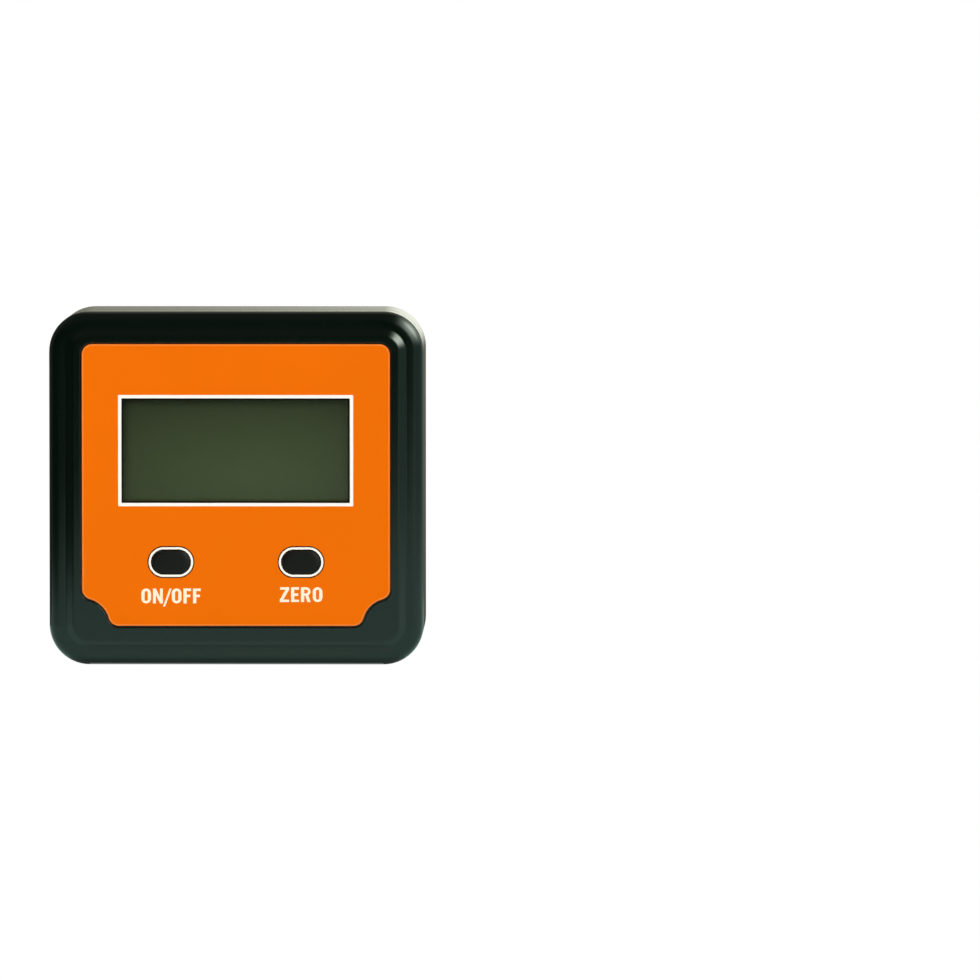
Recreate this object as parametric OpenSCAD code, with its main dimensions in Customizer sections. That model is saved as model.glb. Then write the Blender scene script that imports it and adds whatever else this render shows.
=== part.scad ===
// Digital angle gauge: a palm-sized upright case with a display, two push buttons and a magnetic base.
// Sizes are in millimetres. X runs across the face, Y from the face to the back, Z up from the base.
// The origin is on the base, under the middle of the case.

/* [Case] */
// Width of the case across the face
case_w = 54; // [48:0.5:64]
// Height of the case above the surface it stands on
case_h = 51; // [45:0.5:60]
// Depth of the case from the raised face to the back
case_d = 25; // [22:0.5:34]
// Radius of the case's four corners, seen from the front
case_corner_r = 5.8; // [5.2:0.1:6.4]
// Thickness of the side walls
wall_t = 2; // [1.9:0.1:2.3]
// Thickness of the back wall
back_wall_t = 2; // [1.6:0.1:3]
// Depth of the front shell, from the raised face to the parting line
front_shell_d = 9.5; // [9:0.1:11]
// Radius of the rolled edge around the back
back_roll_r = 1.2; // [0.8:0.1:1.8]
// Height of the lip that locates the two shells
lip_h = 1.5; // [1:0.1:2]
// Thickness of the locating lip
lip_t = 0.8; // [0.6:0.05:1]
// Width of the shadow line at the parting of the shells
seam_w = 0.25; // [0.1:0.05:0.5]
// Depth of the shadow line at the parting of the shells
seam_depth = 0.5; // [0.2:0.1:0.7]

/* [Bezel] */
// Radius of the outer rolled edge of the bezel
edge_roll_r = 1.65; // [1:0.05:1.8]
// Width of the flat ledge between the rolled edge and the shoulder
ledge_w = 0.95; // [0.5:0.05:1.1]
// Radius of the rounded shoulder, which is the height of the raised face above the ledge
shoulder_r = 1; // [0.5:0.05:1.1]
// Thickness of the front wall under the label
face_wall_t = 1.6; // [1.2:0.1:2]

/* [Label] */
// Margin between the case's side and the label
label_side = 4.8; // [4.7:0.05:5.5]
// Margin between the case's top and the label
label_top = 4.65; // [4.6:0.05:5.5]
// Margin between the case's base and the label
label_bottom = 5.7; // [4.6:0.05:6]
// Radius of the label's rounded corners
label_corner_r = 1.5; // [0.8:0.1:2]
// Radius of the scallops in the label's lower corners
scallop_r = 4; // [3:0.1:4.5]
// Thickness of the label
label_t = 0.3; // [0.2:0.05:0.5]
// Depth of the label's surface below the raised face
label_sink = 0.5; // [0.2:0.05:0.7]

/* [Display] */
// Share of the label's width that the display window takes
window_w_share = 0.74; // [0.6:0.002:0.76]
// Share of the label's height that the display window takes
window_h_share = 0.37; // [0.3:0.005:0.38]
// Share of the label's height above the display window
window_drop_share = 0.19; // [0.17:0.005:0.2]
// Overlap of the label onto the lens around the window
lens_overlap = 0.6; // [0.3:0.05:1]
// Width of the lens flange outside the window opening
lens_flange_w = 1.4; // [0.8:0.1:1.6]
// Thickness of the lens flange behind the front wall
lens_flange_t = 1; // [0.6:0.1:1.4]
// Gap between the lens and the display glass
lens_gap = 0.2; // [0.1:0.05:0.4]
// Margin of the display glass around the window
glass_margin = 1.3; // [1:0.1:1.5]
// Thickness of the front display glass
front_glass_t = 0.9; // [0.6:0.1:1.1]
// Thickness of the rear display glass with its reflector
rear_glass_t = 1; // [0.6:0.1:1.2]
// Height of the contact ledge along the lower edge of the front glass
glass_ledge = 2.3; // [2.2:0.05:2.5]
// Wall thickness of the display holder
holder_wall_t = 1; // [0.8:0.05:1.2]
// Diameter of the holder's locating pins
holder_pin_d = 0.9; // [0.7:0.05:1]
// Thickness of the rubber connector strip
strip_t = 2; // [1.6:0.1:2.1]

/* [Buttons] */
// Width of a button cap
button_w = 5.5; // [4.5:0.1:6.5]
// Height of a button cap
button_h = 3.35; // [2.8:0.05:4]
// Share of the label's width between the two buttons' centres
button_spacing_share = 0.4225; // [0.36:0.0025:0.5]
// Share of the label's height below the buttons' centres
button_rise_share = 0.227; // [0.2:0.001:0.232]
// Distance that a button travels
button_travel = 0.5; // [0.25:0.05:0.6]
// Crown radius of a button's top
button_crown_r = 14; // [10:1:40]
// Width of the flange that keeps a button in the case
button_flange_w = 0.9; // [0.6:0.1:1.2]
// Thickness of a button's flange
button_flange_t = 0.7; // [0.5:0.05:0.9]
// Side of a switch body
switch_side = 4.5; // [4:0.1:5]
// Height of a switch body above the board
switch_t = 3.5; // [3:0.1:3.6]
// Diameter of a switch plunger
plunger_d = 2.4; // [2:0.1:2.8]
// Height of a plunger above its switch at rest
plunger_out = 0.8; // [0.7:0.05:1]

/* [Board] */
// Thickness of the circuit board
board_t = 1.6; // [1:0.1:1.8]
// Gap between the display's back and the board
board_standoff = 3; // [2.5:0.1:3.3]
// Gap between the side walls and the board
board_gap = 1.5; // [1.2:0.1:2]
// Height between the upper and lower board screws
board_screw_span = 22; // [16:0.5:26]
// Diameter of the processor's resin cap
processor_d = 11; // [8:0.5:14]
// Height of the processor's resin cap
processor_t = 1.6; // [1:0.1:2]
// Side of the tilt sensor
sensor_side = 5; // [3:0.5:6]
// Height of the tilt sensor
sensor_t = 1.6; // [1:0.1:2]

/* [Battery] */
// Diameter of the coin cell
cell_d = 20; // [16:0.5:20]
// Thickness of the coin cell
cell_t = 3.2; // [2:0.1:3.2]
// Thickness of the battery cover's flange
cover_flange_t = 1.4; // [1.2:0.1:1.8]
// Thickness of the ledge that the bayonet lugs turn under
bayonet_t = 1.2; // [0.8:0.1:1.5]
// Reach of the bayonet lugs beyond the cover's neck
lug_reach = 1.2; // [0.8:0.1:1.4]
// Angle that each lug spans
lug_angle = 36; // [24:1:38]
// Turn that frees the cover
cover_turn = 45; // [44:1:60]
// Length of the coin slot
coin_slot_l = 14; // [10:0.5:16]
// Width of the coin slot
coin_slot_w = 2.2; // [1.6:0.1:2.6]
// Thickness of the contact springs
contact_t = 0.3; // [0.2:0.05:0.35]
// Diameter of the battery leads
lead_d = 1.2; // [0.8:0.1:1.4]

/* [Base] */
// Diameter of a base magnet
magnet_d = 10; // [6:0.5:11]
// Thickness of a base magnet
magnet_t = 4; // [2:0.1:5]
// Distance from a corner post in to a magnet's centre
magnet_inset = 9.2; // [9:0.1:11]
// Distance from the back to a magnet's boss
magnet_edge = 1.2; // [1.2:0.1:2]
// Depth of the magnets below the base's face
magnet_sink = 0.2; // [0.1:0.05:0.4]

/* [Screws] */
// Diameter of a case screw's shank
case_screw_d = 2.2; // [2:0.1:2.6]
// Depth that a case screw bites into the front shell
case_screw_bite = 5.3; // [3:0.1:5.8]
// Diameter of a case screw's head
case_head_d = 4.2; // [3.6:0.1:4.4]
// Depth of the case screws' heads below the back
case_head_sink = 1.2; // [0.6:0.1:1.6]
// Diameter of a board screw's shank
board_screw_d = 1.6; // [1.4:0.1:1.8]
// Length of a board screw under its head
board_screw_l = 6; // [5:0.5:7]
// Diameter of a board screw's head
board_head_d = 3; // [2.6:0.1:3.2]

/* [Fits] */
// Gap between moulded parts that fit together
fit_gap = 0.1; // [0.05:0.01:0.15]
// Gap around the label in its recess
label_gap = 0.2; // [0.1:0.05:0.3]
// Gap between faces that all but touch
touch_gap = 0.05; // [0.03:0.01:0.1]
// Gap around a screw in a hole that it passes through
screw_gap = 0.2; // [0.1:0.05:0.3]
// Gap beyond the end of a screw in its blind hole
blind_gap = 0.4; // [0.2:0.1:0.6]
// Gap around the display glass in its holder
holder_gap = 0.15; // [0.1:0.05:0.2]
// Gap around the cell in its well
cell_gap = 0.25; // [0.15:0.05:0.35]
// Gap around the turning parts of the battery cover
cover_gap = 0.2; // [0.1:0.05:0.3]
// Gap around a contact's tail in its slot
tail_gap = 0.1; // [0.05:0.01:0.15]

/* [Hidden] */
$fn = 64;

// How far a cutting shape runs past the face that it cuts
over = 0.5;
// Points along each round stretch of a drawn outline
arc_steps = 10;

// Stack of faces from the front to the board, as Y positions
y_face = -case_d / 2;
y_back = case_d / 2;
y_part = y_face + front_shell_d;
y_label = y_face + label_sink;
y_panel = y_label + label_t;
y_wall = y_panel + face_wall_t;
y_lens_back = y_wall + lens_flange_t;
y_glass = y_lens_back + lens_gap;
y_rear_glass = y_glass + front_glass_t;
y_glass_back = y_rear_glass + rear_glass_t;
y_board = y_glass_back + board_standoff;
y_board_back = y_board + board_t;

// Label, window and buttons on the face
label_w = case_w - 2 * label_side;
label_h = case_h - label_top - label_bottom;
window_w = label_w * window_w_share;
window_h = label_h * window_h_share;
window_z = case_h - label_top - label_h * window_drop_share - window_h / 2;
button_spacing = label_w * button_spacing_share;
button_z = label_bottom + label_h * button_rise_share;

// Gap between the board and what stands beside it
board_clear = 0.4;

// Corner posts, which stand on the centres of the corner arcs
post_x = case_w / 2 - case_corner_r;
post_zs = [case_corner_r, case_h - case_corner_r];
post_wall_t = 1.2;
front_post_wall_t = 1.65;
front_post_r = case_screw_d / 2 + front_post_wall_t;
rear_post_r = case_head_d / 2 + post_wall_t;
case_head_t = 1.6;
y_case_head = y_back - case_head_sink - case_head_t;
case_screw_l = y_case_head - y_part + case_screw_bite;

// Magnets in the rear shell, and the tops of their bosses
magnet_wall_t = 1.2;
magnet_boss_r = magnet_d / 2 + magnet_wall_t;
magnet_x = post_x - magnet_inset;
magnet_y = y_back - magnet_edge - magnet_boss_r;
magnet_top = magnet_sink + magnet_t + magnet_wall_t;

// Board above the magnets, with its screws just inside its side edges
board_w = case_w - 2 * (wall_t + board_gap);
board_low = magnet_top + board_clear;
board_high = case_h - wall_t - board_gap;
board_post_wall_t = 0.9;
board_post_r = board_screw_d / 2 + board_post_wall_t;
board_screw_x = board_w / 2 - board_post_r;
board_screw_zs = [case_h / 2 - board_screw_span / 2, case_h / 2 + board_screw_span / 2];
board_head_t = 1.2;
dome_rise = 3;
dome_z = window_z + dome_rise;
dome_r = (pow(processor_d / 2, 2) + pow(processor_t, 2)) / (2 * processor_t);
can_r = 1;
can_l = 6.2;
chip = [2, 1.2, 1.25];
chip_pitch = 3;

// Display glass and the holder around it
glass_w = window_w + 2 * glass_margin;
rear_glass_h = window_h + 2 * glass_margin;
front_glass_h = rear_glass_h + glass_ledge;
front_glass_z = window_z - glass_ledge / 2;
holder_w = glass_w + 2 * (holder_gap + holder_wall_t);
holder_h = front_glass_h + 2 * (holder_gap + holder_wall_t);
holder_floor_t = 1;
holder_pin_out = 0.3;
strip_z = front_glass_z - front_glass_h / 2 + glass_ledge / 2;
opening_w = window_w + 2 * lens_overlap;
opening_h = window_h + 2 * lens_overlap;

// Buttons and switches, from a button's top back to the board
y_button_flange = y_wall + touch_gap;
y_button_post = y_button_flange + button_flange_t;
y_switch = y_board - switch_t;
y_plunger = y_switch - plunger_out;
plunger_hidden = 0.8;
button_post_r = plunger_d / 2;

// Battery stack, from the back inwards
battery_z = case_h / 2;
y_cover_seat = y_back - cover_flange_t;
y_bayonet = y_cover_seat - bayonet_t;
y_lug = y_bayonet - cover_gap;
lug_t = 1.2;
y_cover_end = y_lug - lug_t;
y_cell = y_cover_end - fit_gap;
y_cell_in = y_cell - cell_t;
cell_step = 0.5;
cell_rim = 1.2;
contact_room = 0.7;
y_cell_floor = y_cell_in - contact_room;
well_wall_t = 1.2;
y_well_end = y_cell_floor - well_wall_t;
tail_out = 1.5;
y_tail = y_well_end - tail_out;
cell_r = cell_d / 2;
pocket_r = cell_r + cell_gap;
throat_r = pocket_r + cell_gap;
neck_r = throat_r - cover_gap;
lug_r = neck_r + lug_reach;
chamber_r = lug_r + cover_gap;
cover_rim = 0.5;
cover_r = chamber_r + cover_rim;
lug_room = 3;
cover_floor_t = 2.1;
cover_ring_t = 1.5;
coin_slot_depth = 1.1;
mark_r = 0.5;
mark_depth = 0.3;
mark_in = 1.3;
tail_w = 2;
plate_l = 7;
plate_w = 4;
plate_x = -0.5;
nub_r = 1.2;
negative_x = plate_x - plate_l / 2 + contact_t;
positive_x = cell_r + contact_t / 2 + touch_gap / 2;
positive_end = 0.4;

// Shares of a pan head: the straight rim, the flat top, and the recess's depth, length and width
head_rim = 0.6;
head_flat = 0.72;
recess_depth = 0.6;
recess_l = 0.6;
recess_w = 0.16;

// Colours
black_abs = [0.07, 0.09, 0.085];
label_orange = [0.93, 0.43, 0.02];
lens_clear = [0.75, 0.8, 0.78, 0.4];
lcd_olive = [0.24, 0.28, 0.18];
holder_white = [0.85, 0.85, 0.82];
strip_grey = [0.35, 0.4, 0.42];
board_green = [0.05, 0.3, 0.16];
resin_black = [0.06, 0.06, 0.06];
chip_black = [0.1, 0.1, 0.11];
plated_steel = [0.75, 0.75, 0.74];
capacitor_tan = [0.62, 0.5, 0.36];
switch_grey = [0.3, 0.3, 0.31];
button_black = [0.12, 0.12, 0.12];
cell_steel = [0.72, 0.73, 0.74];
brass = [0.8, 0.66, 0.35];
lead_red = [0.7, 0.08, 0.06];
lead_black = [0.08, 0.08, 0.08];
magnet_nickel = [0.66, 0.66, 0.67];
screw_zinc = [0.6, 0.61, 0.63];

// A flat shape drawn in X and Z, made solid from y0 to y1
module slab(y0, y1) {
    translate([0, y1, 0]) rotate([90, 0, 0]) linear_extrude(y1 - y0) children();
}

// A round bar along Y from y0 to y1
module bar(r, y0, y1) {
    translate([0, y0, 0]) rotate([-90, 0, 0]) cylinder(r = r, h = y1 - y0);
}

// A block along Y from y0 to y1, centred in X and Z
module block(w, h, y0, y1) {
    translate([-w / 2, y0, -h / 2]) cube([w, y1 - y0, h]);
}

// A bar with half-round ends, drawn flat
module stadium(w, h) {
    square([w - h, h], center = true);
    for (side = [-1, 1]) translate([side * (w - h) / 2, 0]) circle(d = h);
}

// A slice of a disc about a middle angle, drawn flat
module sector(r, middle, span) {
    far = 2 * r;
    intersection() {
        circle(r);
        polygon([
            [0, 0],
            [far * cos(middle - span / 2), far * sin(middle - span / 2)],
            [far * cos(middle), far * sin(middle)],
            [far * cos(middle + span / 2), far * sin(middle + span / 2)]
        ]);
    }
}

// A quarter disc that rounds an outer corner: the disc's centre is at the far corner of its square
module quarter(r) {
    intersection() {
        translate([r, r]) circle(r);
        square(r);
    }
}

// Sweeps a section around the case's outline. The section's X is the distance in from the outline,
// and its Y is the distance back from the raised face.
module around_case() {
    long = case_w - 2 * case_corner_r;
    tall = case_h - 2 * case_corner_r;
    translate([0, y_face, case_h / 2]) {
        for (side = [0, 1]) {
            mirror([0, 0, side]) translate([0, 0, case_h / 2]) rotate([0, 90, 0])
                linear_extrude(long, center = true) children();
            mirror([side, 0, 0]) translate([-case_w / 2, 0, 0])
                linear_extrude(tall, center = true) children();
            for (end = [0, 1])
                mirror([side, 0, 0]) mirror([0, 0, end]) translate([long / 2, 0, tall / 2])
                    rotate([90, 0, 0]) rotate_extrude(angle = 90)
                        translate([case_corner_r, 0]) rotate(180) children();
        }
    }
}

// The middle of a wall, between the four swept corners
module case_middle(y0, y1) {
    translate([0, 0, case_h / 2]) block(case_w - 2 * case_corner_r, case_h - 2 * case_corner_r, y0, y1);
}

// Repeats its children on the four corner posts
module at_posts() {
    for (x = [-post_x, post_x], z = post_zs) translate([x, 0, z]) children();
}

// Repeats its children on the four board screws
module at_board_screws() {
    for (x = [-board_screw_x, board_screw_x], z = board_screw_zs) translate([x, 0, z]) children();
}

// Repeats its children on the four locating pins at the holder's corners
module at_holder_pins() {
    x = holder_w / 2 - holder_wall_t / 2;
    z = holder_h / 2 - holder_wall_t / 2;
    for (side = [-1, 1], end = [-1, 1]) translate([side * x, 0, front_glass_z + end * z]) children();
}

// Repeats its children on the two base magnets
module at_magnets() {
    for (side = [-1, 1]) translate([side * magnet_x, magnet_y, 0]) children();
}

// Places its children behind the left button at -1, or the right button at 1
module at_button(side) {
    translate([side * button_spacing / 2, 0, button_z]) children();
}

// Points of an arc about [cx, cz]
function arc(cx, cz, r, from, to) =
    [
        for (i = [0 : arc_steps])
            let (a = from + (to - from) * i / arc_steps)
            [cx + r * cos(a), cz + r * sin(a)]
    ];

// Right half of the label's outline, grown outwards by a margin, from the lower edge to the top.
// A scallop is centred on the label's lower corner and blends into both edges with small arcs.
function label_half(grow) =
    let (
        x = label_w / 2,
        low = label_bottom,
        high = case_h - label_top,
        r = label_corner_r,
        reach = sqrt(pow(scallop_r + r, 2) - r * r),
        lean = asin(r / (scallop_r + r))
    )
    concat(
        arc(x - reach, low + r, r + grow, -90, -lean),
        arc(x, low, scallop_r - grow, 180 - lean, 90 + lean),
        arc(x - r, low + reach, r + grow, lean - 90, 0),
        arc(x - r, high - r, r + grow, 0, 90)
    );

// The label's outline, grown outwards by a margin
module label_outline(grow) {
    right = label_half(grow);
    left = [for (i = [len(right) - 1 : -1 : 0]) [-right[i][0], right[i][1]]];
    polygon(concat(right, left));
}

// Both buttons' outlines, grown outwards by a margin
module button_outlines(grow) {
    for (side = [-1, 1])
        translate([side * button_spacing / 2, button_z]) stadium(button_w + 2 * grow, button_h + 2 * grow);
}

// The bezel's section: a side wall, a rolled edge, a ledge and a rounded shoulder up to the raised face
module bezel_section() {
    wall_back = y_wall - y_face;
    foot = edge_roll_r + ledge_w;
    roll_end = shoulder_r + edge_roll_r;
    translate([0, shoulder_r]) quarter(edge_roll_r);
    translate([0, roll_end]) square([edge_roll_r, front_shell_d - roll_end]);
    translate([edge_roll_r, shoulder_r]) square([wall_t - edge_roll_r, front_shell_d - shoulder_r]);
    translate([edge_roll_r, shoulder_r]) square([case_corner_r - edge_roll_r, wall_back - shoulder_r]);
    translate([foot, 0]) quarter(shoulder_r);
    translate([foot + shoulder_r, 0]) square([case_corner_r - foot - shoulder_r, shoulder_r]);
}

module front_housing() {
    color(black_abs) difference() {
        union() {
            around_case() bezel_section();
            case_middle(y_face, y_wall);
            at_posts() bar(front_post_r, y_wall - over, y_part);
            at_board_screws() bar(board_post_r, y_wall - over, y_board);
        }
        slab(y_face - over, y_panel) label_outline(label_gap);
        translate([0, 0, window_z])
            block(opening_w + 2 * fit_gap, opening_h + 2 * fit_gap, y_panel - over, y_wall + over);
        slab(y_panel - over, y_wall + over) button_outlines(fit_gap);
        at_posts() bar(case_screw_d / 2 + touch_gap, y_part - case_screw_bite - blind_gap, y_part + over);
        at_board_screws()
            bar(board_screw_d / 2 + touch_gap, y_board_back - board_screw_l - blind_gap, y_board + over);
    }
}

// The rear shell's section: a shadow line and a locating lip at the parting, and a rolled edge at the back
module rear_section() {
    lip_in = wall_t + fit_gap + lip_t;
    wall_l = case_d - back_roll_r - front_shell_d;
    translate([0, front_shell_d + seam_w]) square([seam_depth, wall_l - seam_w]);
    translate([seam_depth, front_shell_d]) square([back_roll_r - seam_depth, wall_l]);
    translate([back_roll_r, front_shell_d]) square([wall_t - back_roll_r, case_d - front_shell_d]);
    translate([0, case_d]) mirror([0, 1]) quarter(back_roll_r);
    translate([wall_t, front_shell_d]) square([lip_in - wall_t, lip_h]);
    translate([lip_in - lip_t, front_shell_d - lip_h]) square([lip_t, lip_h]);
    translate([back_roll_r, case_d - back_wall_t]) square([case_corner_r - back_roll_r, back_wall_t]);
}

// The round well that holds the cell, before it is hollowed
module battery_well() {
    bar(chamber_r + well_wall_t, y_cell - well_wall_t, y_back - back_roll_r);
    bar(pocket_r + well_wall_t, y_well_end, y_cell);
}

// The hollow of the well: a seat for the cover, a throat with two notches for the lugs,
// a chamber that the lugs turn in, a pocket for the cell and slots for the contacts
module battery_hollow() {
    bar(cover_r + cover_gap, y_cover_seat, y_back + over);
    bar(throat_r, y_cell, y_back);
    bar(chamber_r, y_cell, y_bayonet);
    bar(pocket_r, y_cell_floor, y_cell + over);
    slab(y_bayonet - over, y_cover_seat + over)
        for (turn = [0, 180]) sector(chamber_r, turn - cover_turn, lug_angle + 2 * lug_room);
    translate([negative_x, 0, 0])
        block(contact_t + 2 * tail_gap, tail_w + 2 * tail_gap, y_well_end - over, y_cell_floor + over);
    translate([positive_x, 0, 0])
        block(contact_t + 2 * tail_gap, 2 * (tail_w + tail_gap), y_well_end - over,
            y_cell - positive_end + tail_gap);
}

// Dimples beside the cover: one for closed, and one for open
module cover_marks() {
    for (turn = [0, -cover_turn])
        rotate([0, -turn, 0]) translate([0, 0, cover_r + mark_in])
            bar(mark_r, y_back - mark_depth, y_back + over);
}

module rear_housing() {
    color(black_abs) difference() {
        union() {
            around_case() rear_section();
            case_middle(y_back - back_wall_t, y_back);
            at_posts() bar(rear_post_r, y_part, y_back - back_roll_r);
            translate([0, 0, battery_z]) battery_well();
            at_magnets() translate([0, 0, over])
                cylinder(r = magnet_boss_r, h = magnet_top - over);
        }
        translate([0, 0, battery_z]) {
            battery_hollow();
            cover_marks();
        }
        at_posts() {
            bar(front_post_r + fit_gap, y_part - lip_h - over, y_part);
            bar(case_screw_d / 2 + screw_gap, y_part - over, y_back);
            bar(case_head_d / 2 + screw_gap, y_case_head, y_back + over);
        }
        at_magnets() translate([0, 0, -over])
            cylinder(r = magnet_d / 2 + touch_gap, h = over + magnet_sink + magnet_t + touch_gap);
    }
}

module face_label() {
    color(label_orange) difference() {
        slab(y_label, y_panel) label_outline(0);
        translate([0, 0, window_z]) block(window_w, window_h, y_label - over, y_panel + over);
        slab(y_label - over, y_panel + over) button_outlines(fit_gap);
    }
}

// A clear lens: a boss that fills the front wall's opening, and a flange behind the wall
module display_lens() {
    color(lens_clear) translate([0, 0, window_z]) {
        block(opening_w, opening_h, y_panel, y_wall);
        block(opening_w + 2 * lens_flange_w, opening_h + 2 * lens_flange_w, y_wall, y_lens_back);
    }
}

module lcd_panel() {
    color(lcd_olive) {
        translate([0, 0, front_glass_z]) block(glass_w, front_glass_h, y_glass, y_rear_glass);
        translate([0, 0, window_z]) block(glass_w, rear_glass_h, y_rear_glass, y_glass_back);
    }
}

// A frame around the glass, with a floor under it and four pins into the board
module lcd_holder() {
    floor_low = window_z - rear_glass_h / 2;
    floor_high = front_glass_z + holder_h / 2;
    color(holder_white) {
        difference() {
            translate([0, 0, front_glass_z]) block(holder_w, holder_h, y_glass, y_board);
            translate([0, 0, front_glass_z])
                block(glass_w + 2 * holder_gap, front_glass_h + 2 * holder_gap,
                    y_glass - over, y_board + over);
        }
        translate([-holder_w / 2, y_glass_back, floor_low])
            cube([holder_w, holder_floor_t, floor_high - floor_low]);
        at_holder_pins() bar(holder_pin_d / 2, y_board - over, y_board_back + holder_pin_out);
    }
}

module connector_strip() {
    color(strip_grey) translate([0, 0, strip_z]) block(window_w, strip_t, y_rear_glass, y_board);
}

module main_board() {
    color(board_green) difference() {
        translate([-board_w / 2, y_board, board_low]) cube([board_w, board_t, board_high - board_low]);
        at_posts() bar(rear_post_r + board_clear, y_board - over, y_board_back + over);
        at_board_screws() bar(board_screw_d / 2 + screw_gap, y_board - over, y_board_back + over);
        at_holder_pins() bar(holder_pin_d / 2 + fit_gap, y_board - over, y_board_back + over);
    }
}

// A resin cap over the bonded processor, on the back of the board
module processor() {
    color(resin_black) intersection() {
        translate([0, y_board_back + processor_t - dome_r, dome_z]) sphere(dome_r, $fn = 200);
        translate([0, 0, dome_z])
            block(2 * processor_d, 2 * processor_d, y_board_back, y_board_back + dome_r);
    }
}

module tilt_sensor() {
    color(chip_black) translate([-board_w / 4, 0, button_z])
        block(sensor_side, sensor_side, y_board_back, y_board_back + sensor_t);
}

// A watch crystal in a small can that lies on the board
module crystal() {
    color(plated_steel) translate([board_w / 4, y_board_back + can_r + touch_gap, button_z])
        rotate([0, 90, 0]) cylinder(r = can_r, h = can_l, center = true);
}

// Four chip capacitors beside the processor
module capacitors() {
    color(capacitor_tan) for (side = [-1, 1], row = [0, 1])
        translate([side * board_w / 3 - chip[0] / 2, y_board_back, window_z + chip_pitch * row]) cube(chip);
}

module switch_body(side) {
    color(switch_grey) at_button(side) difference() {
        block(switch_side, switch_side, y_switch, y_board);
        bar(plunger_d / 2 + fit_gap, y_switch - over, y_switch + plunger_hidden + button_travel + fit_gap);
    }
}

module power_switch() {
    switch_body(-1);
}

module zero_switch() {
    switch_body(1);
}

module plunger(side) {
    color(button_black) at_button(side) bar(plunger_d / 2, y_plunger, y_switch + plunger_hidden);
}

module power_plunger() {
    plunger(-1);
}

module zero_plunger() {
    plunger(1);
}

// A button: a crowned cap in the front wall, a flange behind it and a post on the switch
module button(side) {
    color(button_black) at_button(side) {
        intersection() {
            slab(y_face, y_button_flange) stadium(button_w, button_h);
            translate([0, y_face + button_crown_r, 0]) sphere(button_crown_r, $fn = 200);
        }
        slab(y_button_flange, y_button_post)
            stadium(button_w + 2 * button_flange_w, button_h + 2 * button_flange_w);
        bar(button_post_r, y_button_post, y_plunger);
    }
}

module power_button() {
    button(-1);
}

module zero_button() {
    button(1);
}

// The coin cell: a wide can facing the cover, and a smaller can towards the board
module coin_cell() {
    color(cell_steel) translate([0, 0, battery_z]) {
        bar(cell_r, y_cell_in + cell_step, y_cell);
        bar(cell_r - cell_rim, y_cell_in, y_cell_in + cell_step);
    }
}

// A spring plate under the cell, with a raised nub and a tail through the well's floor
module negative_contact() {
    color(brass) translate([0, 0, battery_z]) {
        translate([plate_x, 0, 0]) block(plate_l, plate_w, y_cell_floor, y_cell_floor + contact_t);
        bar(nub_r, y_cell_floor, y_cell_in);
        translate([negative_x, 0, 0]) block(contact_t, tail_w, y_tail, y_cell_floor + contact_t);
    }
}

// A spring strip against the cell's rim, with a tail through the well's floor
module positive_contact() {
    color(brass) translate([positive_x, 0, battery_z]) {
        block(contact_t, 2 * tail_w, y_cell_floor, y_cell - positive_end);
        block(contact_t, tail_w, y_tail, y_cell_floor + over);
    }
}

// A short lead from a contact's tail straight to its pad on the board
module lead(x) {
    translate([x, 0, battery_z]) bar(lead_d / 2, y_board_back, y_tail);
}

module negative_lead() {
    color(lead_black) lead(negative_x);
}

module positive_lead() {
    color(lead_red) lead(positive_x);
}

// A round cover with two bayonet lugs, turned by a coin in its slot
module battery_cover() {
    color(black_abs) translate([0, 0, battery_z]) difference() {
        union() {
            bar(cover_r, y_cover_seat + touch_gap, y_back);
            bar(neck_r, y_cover_end, y_cover_seat + over);
            slab(y_cover_end, y_lug) for (turn = [0, 180]) sector(lug_r, turn, lug_angle);
        }
        bar(neck_r - cover_ring_t, y_cover_end - over, y_back - cover_floor_t);
        slab(y_back - coin_slot_depth, y_back + over) stadium(coin_slot_l, coin_slot_w);
        translate([0, 0, cover_r - mark_in]) bar(mark_r, y_back - mark_depth, y_back + over);
    }
}

module magnet(side) {
    color(magnet_nickel) translate([side * magnet_x, magnet_y, magnet_sink])
        cylinder(d = magnet_d, h = magnet_t);
}

module left_magnet() {
    magnet(-1);
}

module right_magnet() {
    magnet(1);
}

// A pan-head screw along Y with a cross recess. Its shank runs forwards from y0.
module pan_screw(y0, shank_d, shank_l, head_d, head_t) {
    y_rim = y0 + head_t * head_rim;
    y_recess = y0 + head_t * (1 - recess_depth);
    difference() {
        union() {
            bar(shank_d / 2, y0 - shank_l, y0);
            bar(head_d / 2, y0, y_rim);
            translate([0, y_rim, 0]) rotate([-90, 0, 0])
                cylinder(d1 = head_d, d2 = head_d * head_flat, h = head_t * (1 - head_rim));
        }
        block(head_d * recess_l, head_d * recess_w, y_recess, y0 + head_t + over);
        block(head_d * recess_w, head_d * recess_l, y_recess, y0 + head_t + over);
    }
}

module case_screws() {
    color(screw_zinc) at_posts() pan_screw(y_case_head, case_screw_d, case_screw_l, case_head_d, case_head_t);
}

module board_screws() {
    color(screw_zinc) at_board_screws()
        pan_screw(y_board_back, board_screw_d, board_screw_l, board_head_d, board_head_t);
}

front_housing();
rear_housing();
face_label();
display_lens();
lcd_panel();
lcd_holder();
connector_strip();
main_board();
processor();
tilt_sensor();
crystal();
capacitors();
power_switch();
zero_switch();
power_plunger();
zero_plunger();
power_button();
zero_button();
coin_cell();
negative_contact();
positive_contact();
negative_lead();
positive_lead();
battery_cover();
left_magnet();
right_magnet();
case_screws();
board_screws();
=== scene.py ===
"""Looks of a palm-sized digital angle gauge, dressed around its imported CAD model.

Sizes in the classes are in millimetres, and every object is made in metres in the CAD frame: X runs across
the face, Y from the face to the back, and Z up from the base.
"""
import logging
import math
from dataclasses import dataclass, field
from enum import Enum
from functools import partial
from typing import Callable, Sequence

import bmesh
import bpy
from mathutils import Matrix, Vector
from mathutils.geometry import tessellate_polygon


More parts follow.
